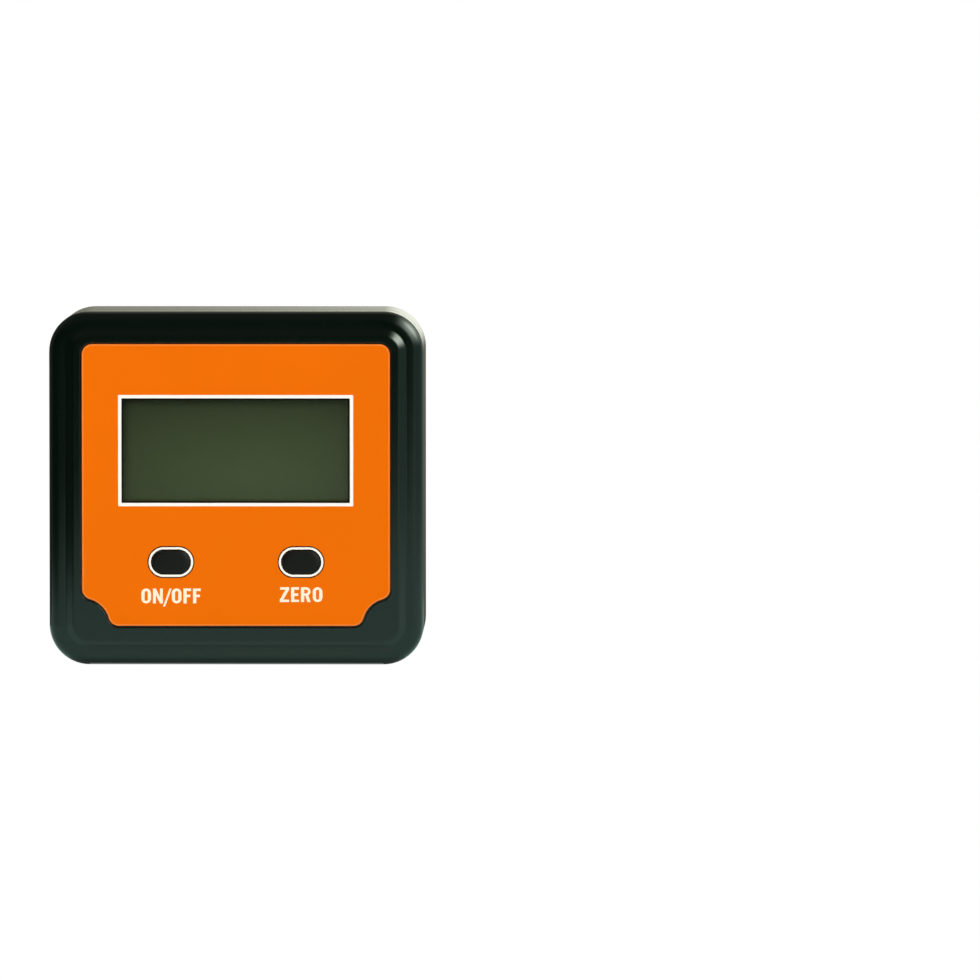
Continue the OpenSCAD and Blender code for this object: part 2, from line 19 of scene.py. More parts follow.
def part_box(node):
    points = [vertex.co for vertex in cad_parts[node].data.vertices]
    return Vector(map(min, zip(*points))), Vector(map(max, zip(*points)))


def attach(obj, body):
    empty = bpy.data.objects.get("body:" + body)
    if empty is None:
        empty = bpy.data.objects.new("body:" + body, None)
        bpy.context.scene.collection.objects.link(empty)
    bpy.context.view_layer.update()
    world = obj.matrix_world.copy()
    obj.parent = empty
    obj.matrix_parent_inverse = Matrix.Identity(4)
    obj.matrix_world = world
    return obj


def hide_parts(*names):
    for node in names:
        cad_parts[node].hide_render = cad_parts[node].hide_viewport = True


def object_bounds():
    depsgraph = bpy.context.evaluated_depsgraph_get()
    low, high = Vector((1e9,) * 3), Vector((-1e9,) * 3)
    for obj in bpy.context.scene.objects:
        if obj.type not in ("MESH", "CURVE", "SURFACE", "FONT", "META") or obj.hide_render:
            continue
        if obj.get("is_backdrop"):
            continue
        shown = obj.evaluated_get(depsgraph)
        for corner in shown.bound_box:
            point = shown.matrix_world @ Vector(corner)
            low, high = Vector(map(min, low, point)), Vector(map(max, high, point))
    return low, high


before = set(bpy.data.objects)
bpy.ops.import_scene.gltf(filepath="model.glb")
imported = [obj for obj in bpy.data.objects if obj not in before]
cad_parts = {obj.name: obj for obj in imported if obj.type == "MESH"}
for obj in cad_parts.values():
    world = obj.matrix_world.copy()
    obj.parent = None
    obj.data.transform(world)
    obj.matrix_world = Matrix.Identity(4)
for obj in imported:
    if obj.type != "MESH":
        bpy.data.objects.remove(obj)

LOG = logging.getLogger("angle_gauge")
MM = 0.001
# Width of the flat bands, in millimetres, that keep a flat face's shading even beside a rounded edge
MARGIN = 0.06
# Distance, in metres, below which two points are one
WELD = 1e-7
# Points in circles from tiny to large
TINY_ROUND, SMALL_ROUND, MIDDLE_ROUND, LARGE_ROUND = 24, 48, 64, 96
MAGNETS = ("left_magnet", "right_magnet")

Point = tuple[float, float]
Triple = tuple[float, float, float]
Outline = list[Point]
# An outline with its holes
Shape = tuple[Outline, list[Outline]]

RIGHT, LEFT = (1.0, 0.0, 0.0), (-1.0, 0.0, 0.0)
BACK, FRONT = (0.0, 1.0, 0.0), (0.0, -1.0, 0.0)
UP, DOWN = (0.0, 0.0, 1.0), (0.0, 0.0, -1.0)


class Body(Enum):
    """The rigid bodies that pieces ride on."""

    HOUSING = "housing"
    POWER_KEY = "power_key"
    ZERO_KEY = "zero_key"
    BATTERY_DOOR = "battery_door"


class Axis(Enum):
    """The axis that a ring of points lies square to."""

    Y = "y"
    Z = "z"


class Side(Enum):
    """Left and right on the face, as signs of X."""

    LEFT = -1
    RIGHT = 1


# Colour and node helpers


def linear(hex_colour: str) -> tuple[float, float, float, float]:
    """Turns an sRGB hex colour into linear RGBA.

    Args:
        hex_colour: Six hex digits after a hash sign.

    Returns:
        The colour as linear red, green, blue and an alpha of 1.
    """
    values = [int(hex_colour[i : i + 2], 16) / 255 for i in (1, 3, 5)]
    flat = [v / 12.92 if v <= 0.04045 else ((v + 0.055) / 1.055) ** 2.4 for v in values]
    return (flat[0], flat[1], flat[2], 1.0)


def add_node(
    tree: bpy.types.NodeTree,
    kind: str,
    settings: dict[str, object] | None = None,
    inputs: dict[str | int, object] | None = None,
) -> bpy.types.Node:
    """Adds a node, sets its properties, and sets or links its inputs.

    Args:
        tree: The node tree to add to.
        kind: Blender's name of the node type.
        settings: Property values by name.
        inputs: Values or output sockets by the input's name or place.

    Returns:
        The new node.
    """
    node = tree.nodes.new(kind)
    for name, value in (settings or {}).items():
        setattr(node, name, value)
    for name, value in (inputs or {}).items():
        socket = node.inputs[name]
        if isinstance(value, bpy.types.NodeSocket):
            tree.links.new(value, socket)
        else:
            socket.default_value = value
    return node


# Finishes


@dataclass(frozen=True)
class Surface:
    """A material's nodes while a finish dresses it.

    Attributes:
        tree: The material's node tree.
        shader: Its shader.
        place: The object coordinates, in metres.
    """

    tree: bpy.types.NodeTree
    shader: bpy.types.Node
    place: bpy.types.NodeSocket


@dataclass(frozen=True)
class Finish:
    """A surface finish: a colour with a faint mottle, a fine grain, and softened edges.

    Attributes:
        name: The real material and how its surface was made.
        colour: The colour as an sRGB hex value.
        roughness: Roughness in the middle of its variation.
        metallic: 1 for bare metal.
        ior: Index of refraction.
        specular: Strength of the head-on reflection, 0.5 for the full value of the index.
        specular_tint: Colour of the head-on reflection as an sRGB hex value.
        grain_mm: Size of the surface grain.
        grain_depth_mm: Depth of the surface grain.
        mottle_mm: Size of the slow change in tone.
        mottle: Strength of the slow change in tone, as a share of the colour.
        mottle_stops: Levels of the pattern at its darkest and its palest.
        mottle_detail: Octaves of finer change in the tone.
        mottle_blend: Strength of each octave against the one before.
        grain_detail: Octaves of finer grain.
        rough_swing: Change in roughness with the tone, as a share.
        edge_mm: Radius that softens sharp edges.
        edge_samples: Samples taken to soften an edge.
    """

    name: str
    colour: str
    roughness: float
    metallic: float = 0.0
    ior: float = 1.5
    specular: float = 0.5
    specular_tint: str = "#ffffff"
    grain_mm: float = 0.2
    grain_depth_mm: float = 0.002
    mottle_mm: float = 6.0
    mottle: float = 0.06
    mottle_stops: Point = (0.3, 0.7)
    mottle_detail: float = 3.0
    mottle_blend: float = 0.55
    grain_detail: float = 2.0
    rough_swing: float = 0.08
    edge_mm: float = 0.0
    edge_samples: int = 4

    def make(self) -> bpy.types.Material:
        """Builds the material once, and finds it again on later calls.

        Returns:
            The material.
        """
        found = bpy.data.materials.get(self.name)
        if found:
            return found
        material = bpy.data.materials.new(self.name)
        material.use_nodes = True
        tree = material.node_tree
        tree.nodes.clear()
        shader = add_node(
            tree,
            "ShaderNodeBsdfPrincipled",
            inputs={
                "Base Color": linear(self.colour),
                "Roughness": self.roughness,
                "Metallic": self.metallic,
                "IOR": self.ior,
                "Specular IOR Level": self.specular,
                "Specular Tint": linear(self.specular_tint),
            },
        )
        add_node(tree, "ShaderNodeOutputMaterial", inputs={"Surface": shader.outputs["BSDF"]})
        self.dress(Surface(tree, shader, add_node(tree, "ShaderNodeTexCoord").outputs["Object"]))
        return material

    def dress(self, surface: Surface) -> None:
        """Adds the mottle, the grain and the softened edges."""
        self.add_mottle(surface)
        self.add_grain(surface)

    def add_mottle(self, surface: Surface) -> None:
        """Varies the tone and the roughness slowly over the surface.

        Args:
            surface: The material's nodes.
        """
        tree, shader = surface.tree, surface.shader
        pattern = {
            "Vector": surface.place,
            "Scale": 1 / (self.mottle_mm * MM),
            "Detail": self.mottle_detail,
            "Roughness": self.mottle_blend,
        }
        cloud = add_node(tree, "ShaderNodeTexNoise", inputs=pattern).outputs["Fac"]
        ramp = add_node(tree, "ShaderNodeValToRGB", inputs={"Fac": cloud})
        shares = (1 - self.mottle, 1 + self.mottle)
        for element, stop, share in zip(ramp.color_ramp.elements, self.mottle_stops, shares):
            element.position = stop
            element.color = (*(min(1.0, c * share) for c in linear(self.colour)[:3]), 1.0)
        tree.links.new(ramp.outputs["Color"], shader.inputs["Base Color"])
        smooth, rough = (self.roughness * (1 + way * self.rough_swing) for way in (-1, 1))
        change = {"Value": cloud, "To Min": smooth, "To Max": min(1.0, rough)}
        result = add_node(tree, "ShaderNodeMapRange", inputs=change).outputs["Result"]
        tree.links.new(result, shader.inputs["Roughness"])

    def add_grain(self, surface: Surface) -> None:
        """Adds the fine grain as bump, over softened edges.

        Args:
            surface: The material's nodes.
        """
        tree = surface.tree
        scale = 1 / (self.grain_mm * MM)
        pattern = {"Vector": surface.place, "Scale": scale, "Detail": self.grain_detail}
        grain = add_node(tree, "ShaderNodeTexNoise", inputs=pattern).outputs["Fac"]
        relief = {"Height": grain, "Strength": 1.0, "Distance": self.grain_depth_mm * MM}
        bump = add_node(tree, "ShaderNodeBump", inputs=relief)
        if self.edge_mm:
            radius = {"Radius": self.edge_mm * MM}
            edge = add_node(tree, "ShaderNodeBevel", {"samples": self.edge_samples}, radius)
            tree.links.new(edge.outputs["Normal"], bump.inputs["Normal"])
        tree.links.new(bump.outputs["Normal"], surface.shader.inputs["Normal"])


@dataclass(frozen=True)
class ClearFinish(Finish):
    """A clear, polished finish that light passes through."""

    def dress(self, surface: Surface) -> None:
        """Makes the shader transmit light, with the grain of a moulded lens."""
        surface.shader.inputs["Transmission Weight"].default_value = 1.0
        self.add_grain(surface)


@dataclass(frozen=True)
class LayeredFinish(Finish):
    """A finish with thin parallel layers along X.

    Attributes:
        second: The second layer's colour as an sRGB hex value.
        pitch_mm: Distance from layer to layer.
    """

    second: str = "#202020"
    pitch_mm: float = 0.5

    def dress(self, surface: Surface) -> None:
        """Draws the layers as bands of two colours.

        Args:
            surface: The material's nodes.
        """
        tree = surface.tree
        # The wave advances 20 radians for each unit of its scale
        pattern = {"Vector": surface.place, "Scale": math.tau / (20 * self.pitch_mm * MM)}
        bands = add_node(tree, "ShaderNodeTexWave", {"wave_type": "BANDS", "bands_direction": "X"}, pattern)
        ramp = add_node(tree, "ShaderNodeValToRGB", inputs={"Fac": bands.outputs["Fac"]})
        for element, colour in zip(ramp.color_ramp.elements, (self.colour, self.second)):
            element.color = linear(colour)
        tree.links.new(ramp.outputs["Color"], surface.shader.inputs["Base Color"])
        self.add_grain(surface)


@dataclass(frozen=True)
class PaintedLightFinish(Finish):
    """A finish with painted light: its tone rises towards one soft patch, a painted pool of light, and falls
    to painted shade away from it.

    Attributes:
        rim: The colour of the painted shade far from the patch, as an sRGB hex value.
        centre_mm: The patch's middle.
        reach_mm: How far the patch reaches along X, Y and Z.
    """

    rim: str = "#202020"
    centre_mm: Triple = (0.0, 0.0, 0.0)
    reach_mm: Triple = (10.0, 10.0, 10.0)

    def dress(self, surface: Surface) -> None:
        """Fades the colour from the painted light at the patch to the painted shade at the rim.

        Args:
            surface: The material's nodes.
        """
        tree = surface.tree
        shift = {"Location": Vector(self.centre_mm) * MM, "Scale": Vector(self.reach_mm) * MM}
        patch = add_node(
            tree, "ShaderNodeMapping", {"vector_type": "TEXTURE"}, {"Vector": surface.place, **shift}
        ).outputs["Vector"]
        fade = add_node(tree, "ShaderNodeTexGradient", {"gradient_type": "SPHERICAL"}, {"Vector": patch})
        ramp = add_node(tree, "ShaderNodeValToRGB", inputs={"Fac": fade.outputs["Fac"]})
        ramp.color_ramp.interpolation = "EASE"
        for element, colour in zip(ramp.color_ramp.elements, (self.rim, self.colour)):
            element.color = linear(colour)
        tree.links.new(ramp.outputs["Color"], surface.shader.inputs["Base Color"])
        self.add_grain(surface)


# Black ABS from a polished tool: a dark green-black half gloss, with soft reflections that pale at its edges
CASE_ABS = Finish(
    "moulded_black_abs", "#030b05", 0.17, ior=1.52, specular_tint="#f2fff8", grain_mm=0.16,
    grain_depth_mm=0.0008, mottle_mm=9.0, mottle=0.15,
)
# Orange polycarbonate film printed on its face: even, warm and only slightly glossy
LABEL_FILM = Finish(
    "printed_polycarbonate_film", "#ee6e04", 0.5, ior=1.45, specular=0.04, grain_mm=0.22,
    grain_depth_mm=0.0008, mottle_mm=14.0, mottle=0.02,
)
# Painted highlight: a pale orange line around the film's edge, standing in for the light that the film's cut
# edge catches
PAINTED_EDGE_HIGHLIGHT = Finish(
    "painted_edge_highlight", "#f4883a", 0.5, specular=0.15, grain_depth_mm=0.0008, mottle=0.02,
)
# White screen ink: opaque and matte, with the film's grain showing through
WHITE_INK = Finish("screened_white_ink", "#fcf9ee", 0.6, grain_mm=0.2, grain_depth_mm=0.0008, mottle=0.01)
# A thinner coat of the white: the film's orange warms it to cream
CREAM_INK = Finish("screened_cream_ink", "#fdf0cf", 0.6, grain_mm=0.2, grain_depth_mm=0.0008, mottle=0.01)
# Painted shade: a dull black hairline with no shine to pale it, laid down the edges of the window's and the
# keys' openings where shade falls
PAINTED_GAP_SHADE = Finish(
    "painted_gap_shade", "#0c0603", 0.6, specular=0.08, grain_mm=0.2, grain_depth_mm=0.0008, mottle=0.02,
)
# The same black over the film's orange in a thinner coat: it shows as brown
BROWN_INK = Finish(
    "screened_brown_ink", "#4c2108", 0.6, specular=0.08, grain_mm=0.2, grain_depth_mm=0.0008, mottle=0.02,
)
# Clear acrylic, moulded and polished: nearly invisible, with a sharp reflection
LENS_ACRYLIC = ClearFinish(
    "polished_clear_acrylic", "#f6faf6", 0.06, ior=1.49, grain_mm=3.0, grain_depth_mm=0.0004,
)
# Display glass with a polariser on it: a smooth dark olive, with painted light that makes it palest below
# the middle and painted shade towards its edges
DISPLAY_GLASS = PaintedLightFinish(
    "polarised_display_glass", "#3a412a", 0.2, ior=1.5, grain_mm=1.5, grain_depth_mm=0.0003, rim="#292f1c",
    centre_mm=(3.5, -9.0, 27.5), reach_mm=(38.0, 40.0, 16.0),
)
# White ABS moulded in a plain tool: a warm white with a dull sheen
HOLDER_ABS = Finish("moulded_white_abs", "#dcdbd2", 0.5, edge_mm=0.1)
# Silicone rubber in conducting and insulating layers, drawn coarser than the real pitch so that they show
STRIP_RUBBER = LayeredFinish("layered_silicone_rubber", "#596a70", 0.6, second="#1c2022", pitch_mm=0.5)
# Glass-epoxy laminate under green solder resist: deep green, with tracks that show as paler bands
BOARD_LAMINATE = LayeredFinish(
    "green_resist_on_laminate", "#0e4a26", 0.4, second="#14592f", pitch_mm=2.54, edge_mm=0.1,
)
# Black epoxy, dripped on and cured: a glossy black blob
DRIPPED_RESIN = Finish("cured_black_epoxy", "#0c0c0c", 0.18)
# Black epoxy moulded around a chip, with a dull face
CHIP_EPOXY = Finish("moulded_chip_epoxy", "#1a1a1c", 0.55, edge_mm=0.08)
# Steel can, drawn and tin plated: pale grey, with a soft shine
PLATED_CAN = Finish("drawn_tinned_steel", "#c8c8c4", 0.28, metallic=1.0, grain_mm=0.3)
# Barium titanate ceramic, fired to a dull tan
CHIP_CERAMIC = Finish("fired_tan_ceramic", "#a88a63", 0.6, edge_mm=0.08)
# Nylon, moulded with glass fibre: a dull, even grey
SWITCH_NYLON = Finish("moulded_grey_nylon", "#4c4c50", 0.5, edge_mm=0.1)
# Black ABS from an etched tool: a fine matte texture with little shine
KEY_ABS = Finish(
    "moulded_matte_key_abs", "#0f0e0c", 0.55, specular=0.2, grain_mm=0.12, grain_depth_mm=0.0015,
    mottle_mm=4.0, mottle=0.08,
)
# Stainless steel, drawn and lightly brushed: cool grey, with a blurred shine
CELL_STEEL = Finish("drawn_stainless_steel", "#c3c5c8", 0.3, metallic=1.0, grain_mm=0.25, edge_mm=0.15)
# Spring brass strip, stamped: pale yellow, with bright sheared edges
SPRING_BRASS = Finish("stamped_spring_brass", "#cfae68", 0.32, metallic=1.0, edge_mm=0.05)
# PVC insulation, extruded: a smooth colour with a waxy half gloss
RED_PVC = Finish("extruded_red_pvc", "#b01812", 0.45)
BLACK_PVC = Finish("extruded_black_pvc", "#131313", 0.45)
# Sintered magnet with a bright nickel plate: a near mirror, warm grey, with tumbled edges
NICKEL_PLATE = Finish(
    "bright_nickel_plate", "#b9b7b2", 0.16, metallic=1.0, grain_mm=0.5, grain_depth_mm=0.001, edge_mm=0.25,
)
# Steel screws, rolled and zinc plated: a bluish grey half shine
ZINC_PLATE = Finish("zinc_plated_steel", "#9a9ea4", 0.34, metallic=1.0, grain_mm=0.2, edge_mm=0.1)


# Outlines in the plane of the face, in millimetres


def arc(centre: Point, radius: float, start: float, end: float, steps: int) -> Outline:
    """Points along an arc.

    Args:
        centre: The arc's centre.
        radius: The arc's radius.
        start: The angle of the first point, in degrees.
        end: The angle of the last point, in degrees.
        steps: The number of steps between them.

    Returns:
        The arc's points, both ends included.
    """
    turns = [math.radians(start + (end - start) * i / steps) for i in range(steps + 1)]
    return [(centre[0] + radius * math.cos(t), centre[1] + radius * math.sin(t)) for t in turns]


def rounded_rectangle(centre: Point, width: float, height: float, radius: float, steps: int = 12) -> Outline:
    """A rectangle with round corners, anticlockwise.

    Args:
        centre: The rectangle's centre.
        width: Full width.
        height: Full height.
        radius: Corner radius.
        steps: Steps in each corner.

    Returns:
        The outline.
    """
    x, z = width / 2 - radius, height / 2 - radius
    corners = ((x, z, 0), (-x, z, 90), (-x, -z, 180), (x, -z, 270))
    points: Outline = []
    for dx, dz, start in corners:
        points += arc((centre[0] + dx, centre[1] + dz), radius, start, start + 90, steps)
    return points


def stadium(centre: Point, width: float, height: float, steps: int = 24) -> Outline:
    """A bar with half-round ends, lying along its longer side.

    Args:
        centre: The bar's centre.
        width: Full width.
        height: Full height.
        steps: Steps in each half-round end.

    Returns:
        The outline, anticlockwise.
    """
    return rounded_rectangle(centre, width, height, min(width, height) / 2, steps // 2)


def circle(centre: Point, radius: float, count: int = SMALL_ROUND) -> Outline:
    """A circle of evenly spaced points, anticlockwise."""
    return arc(centre, radius, 0, 360 - 360 / count, count - 1)


def round_over(radius: float, steps: int = 3) -> Outline:
    """A rounded edge from a face into an opening, as distance out of the opening and depth."""
    turns = [math.radians(90 * i / steps) for i in range(steps + 1)]
    return [(radius * (1 - math.sin(t)), radius * (1 - math.cos(t))) for t in turns]


class MeshBuilder:
    """Collects rings of points and the faces between them, in millimetres."""

    def __init__(self) -> None:
        """Starts with no points and no faces."""
        self.points: list[Vector] = []
        self.faces: list[Sequence[int]] = []

    def ring(self, outline: Outline, level: float, axis: Axis = Axis.Y) -> list[int]:
        """Adds an outline at a level.

        Args:
            outline: Points in X and Z, or in X and Y for a ring square to Z.
            level: Their place along the axis.
            axis: The axis that the ring lies square to.

        Returns:
            The new points' numbers.
        """
        start = len(self.points)
        if axis is Axis.Y:
            self.points += [Vector((a, level, b)) for a, b in outline]
        else:
            self.points += [Vector((a, b, level)) for a, b in outline]
        return list(range(start, len(self.points)))

    def bridge(self, first: list[int], second: list[int], skip: int | None = None) -> None:
        """Joins two rings of equal length with a band of quads.

        Args:
            first: One ring's point numbers.
            second: The other ring's point numbers.
            skip: The place of a quad that is left open.
        """
        count = len(first)
        for i in range(count):
            j = (i + 1) % count
            if i != skip:
                self.faces.append((first[i], first[j], second[j], second[i]))

    def loft(self, rings: Sequence[list[int]]) -> None:
        """Joins each ring to the next, which has as many points."""
        for first, second in zip(rings, rings[1:]):
            self.bridge(first, second)

    def revolve(
        self, centre: Point, section: Outline, count: int = SMALL_ROUND, axis: Axis = Axis.Y
    ) -> list[list[int]]:
        """Lofts a row of circles about one axis.

        Args:
            centre: The circles' centre.
            section: Radius and level of each circle.
            count: Points in each circle.
            axis: The axis of the circles.

        Returns:
            The circles' point numbers.
        """
        rings = [self.ring(circle(centre, radius, count), level, axis) for radius, level in section]
        self.loft(rings)
        return rings

    def fill(self, outer: list[int], holes: Sequence[list[int]] = (), axis: Axis = Axis.Y) -> None:
        """Fills a flat ring, leaving holes open.

        Args:
            outer: The outer ring's point numbers.
            holes: The holes' point numbers.
            axis: The axis that the ring lies square to.
        """
        rings = (outer, *holes)
        numbers = [n for ring in rings for n in ring]
        loops = [[self.points[n] for n in ring] for ring in rings]
        flat = [[(p.xz if axis is Axis.Y else p.xy).to_3d() for p in loop] for loop in loops]
        for triangle in tessellate_polygon(flat):
            self.faces.append([numbers[i] for i in triangle])

    def cap(self, rings: Sequence[list[int]], axis: Axis = Axis.Y) -> None:
        """Fills the first and the last of a row of rings."""
        for ring in (rings[0], rings[-1]):
            self.fill(ring, axis=axis)

    def make(
        self, name: str, finish: Finish, body: Body, slot: str, crease_deg: float = 32.0
    ) -> bpy.types.Object:
        """Makes the object, with smooth faces and sharp creases, and rides it on its body.

        Args:
            name: The piece's name.
            finish: Its finish.
            body: The body it rides on.
            slot: The record's material slot; not used.
            crease_deg: Edges sharper than this stay sharp.

        Returns:
            The new object.
        """
        mesh = bpy.data.meshes.new(name)
        mesh.from_pydata([p * MM for p in self.points], [], self.faces)
        shape = bmesh.new()
        shape.from_mesh(mesh)
        bmesh.ops.remove_doubles(shape, verts=shape.verts, dist=WELD)
        bmesh.ops.recalc_face_normals(shape, faces=shape.faces)
        shape.to_mesh(mesh)
        shape.free()
        mesh.shade_smooth()
        mesh.set_sharp_from_angle(angle=math.radians(crease_deg))
        mesh.materials.append(finish.make())
        piece = bpy.data.objects.new(name, mesh)
        bpy.context.scene.collection.objects.link(piece)
        even = piece.modifiers.new("even_shading", "WEIGHTED_NORMAL")
        even.keep_sharp = True
        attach(piece, body.value)
        LOG.info("%s: %d faces on %s", name, len(mesh.polygons), body.value)
        return piece


def box_mm(node: str) -> tuple[Vector, Vector]:
    """Lowest and highest corners of a CAD node, in millimetres."""
    low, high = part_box(node)
    return low / MM, high / MM


def centre_mm(node: str, axis: Axis = Axis.Y) -> Point:
    """Middle of a CAD node, seen along an axis, in millimetres."""
    x, y, z = ((a + b) / 2 for a, b in zip(*box_mm(node)))
    return (x, z) if axis is Axis.Y else (x, y)


def screw_centres(node: str, head_r: float) -> Outline:
    """Centres of four screws whose heads fill the corners of their CAD node, in millimetres."""
    low, high = box_mm(node)
    return [(x, z) for x in (low.x + head_r, high.x - head_r) for z in (low.z + head_r, high.z - head_r)]


# Sub-assemblies


@dataclass
class Face:
    """Places on the face that the pieces share, read from the CAD frame.

    Attributes:
        fit_gap: Gap between moulded parts that fit together.
        label_gap: Gap around the label in its recess.
        corner_r: Radius of the label's rounded corners.
        scallop_r: Radius of the scallops in the label's lower corners.
        lens_flange: Width of the lens's flange around the window.
        window_trim: How far the film reaches in over each side of the window.
        window_shift: Shift of the film's opening from the window's middle.
        window_r: Radius of the window's corners.
        arc_steps: Steps in each of the label's arcs.
        corner_steps: Steps in each of the window's corners.
        low: Lowest corner of the label's box.
        high: Highest corner of the label's box.
    """

    fit_gap: float = 0.1
    label_gap: float = 0.2
    corner_r: float = 1.5
    scallop_r: float = 4.0
    lens_flange: float = 2.0
    window_trim: float = 0.2
    window_shift: Point = (-0.04, -0.11)
    window_r: float = 0.05
    arc_steps: int = 10
    corner_steps: int = 3
    low: Vector = field(init=False)
    high: Vector = field(init=False)

    def __post_init__(self) -> None:
        """Reads the label's box."""
        self.low, self.high = box_mm("face_label")

    def label(self, grow: float) -> Outline:
        """The label's outline.

        Args:
            grow: How far the outline is moved outwards.

        Returns:
            The outline, anticlockwise from the lower edge.
        """
        x, low, high, r = self.high.x, self.low.z, self.high.z, self.corner_r
        reach = math.sqrt((self.scallop_r + r) ** 2 - r**2)
        lean = math.degrees(math.asin(r / (self.scallop_r + r)))
        steps = self.arc_steps
        right = arc((x - reach, low + r), r + grow, -90, -lean, steps)
        right += arc((x, low), self.scallop_r - grow, 180 - lean, 90 + lean, steps)
        right += arc((x - r, low + reach), r + grow, lean - 90, 0, steps)
        right += arc((x - r, high - r), r + grow, 0, 90, steps)
        return right + [(-px, pz) for px, pz in reversed(right)]

    def window(self, grow: float, shift: Point = (0.0, 0.0), radius: float | None = None) -> Outline:
        """The outline of the window, from the lens that fills it behind the label.

        Args:
            grow: How far the outline is moved outwards.
            shift: How far the whole outline is moved.
            radius: Corner radius, where it isn't the window's own.

        Returns:
            The outline.
        """
        low, high = box_mm("display_lens")
        x, z = centre_mm("display_lens")
        centre = (x + shift[0], z + shift[1])
        reach = 2 * (grow - self.lens_flange)
        size = (high.x - low.x + reach, high.z - low.z + reach)
        return rounded_rectangle(centre, *size, radius or self.window_r, self.corner_steps)

    def opening(self, grow: float, radius: float | None = None) -> Outline:
        """The outline of the film's opening over the window, moved outwards by a margin."""
        return self.window(grow - self.window_trim, self.window_shift, radius)


@dataclass
class KeyPlan:
    """Sizes of the two keys.

    Attributes:
        width: Width of a key's cap.
        height: Height of a key's cap.
    """

    width: float = 5.5
    height: float = 3.35

    def centre(self, side: Side) -> Point:
        """The middle of a key on the face, from its CAD node."""
        return centre_mm("power_button" if side is Side.LEFT else "zero_button")

    def outline(self, side: Side, grow: float) -> Outline:
        """A key's outline, moved outwards by a margin."""
        return stadium(self.centre(side), self.width + 2 * grow, self.height + 2 * grow)


@dataclass
class CaseShell:
    """Sizes that the two shells of the case share.

    Attributes:
        corner_r: Radius of the case's corners.
        wall: Thickness of the side walls.
        rim_r: Small radius of the edge at the parting line.
        head_r: Radius of a case screw's head.
        rim_steps: Steps in the edge at the parting line.
        corner_steps: Steps in each corner of the case.
    """

    corner_r: float = 5.8
    wall: float = 2.0
    rim_r: float = 0.12
    head_r: float = 2.1
    rim_steps: int = 4
    corner_steps: int = 14


@dataclass(frozen=True)
class TurnMark:
    """A round dimple that marks the battery cover's turn.

    Attributes:
        radius: The dimple's radius.
        depth: Its depth.
        offset: Distance from the cover's edge to its middle.
        step_deg: Angle from circle to circle in its bowl.
    """

    radius: float = 0.5
    depth: float = 0.3
    offset: float = 1.3
    step_deg: int = 20

    def add(self, mesh: MeshBuilder, place: Point, face: float) -> list[int]:
        """Adds the dimple to a face, sinking towards -Y.

        Args:
            mesh: The mesh to add to.
            place: The dimple's centre.
            face: Y of the face.

        Returns:
            The mouth's point numbers.
        """
        turns = [math.radians(a) for a in range(0, 90, self.step_deg)]
        bowl = [(self.radius * math.cos(t), face - self.depth * math.sin(t)) for t in turns]
        rings = mesh.revolve(place, [(self.radius + MARGIN, face), *bowl], TINY_ROUND)
        mesh.fill(rings[-1])
        return rings[0]


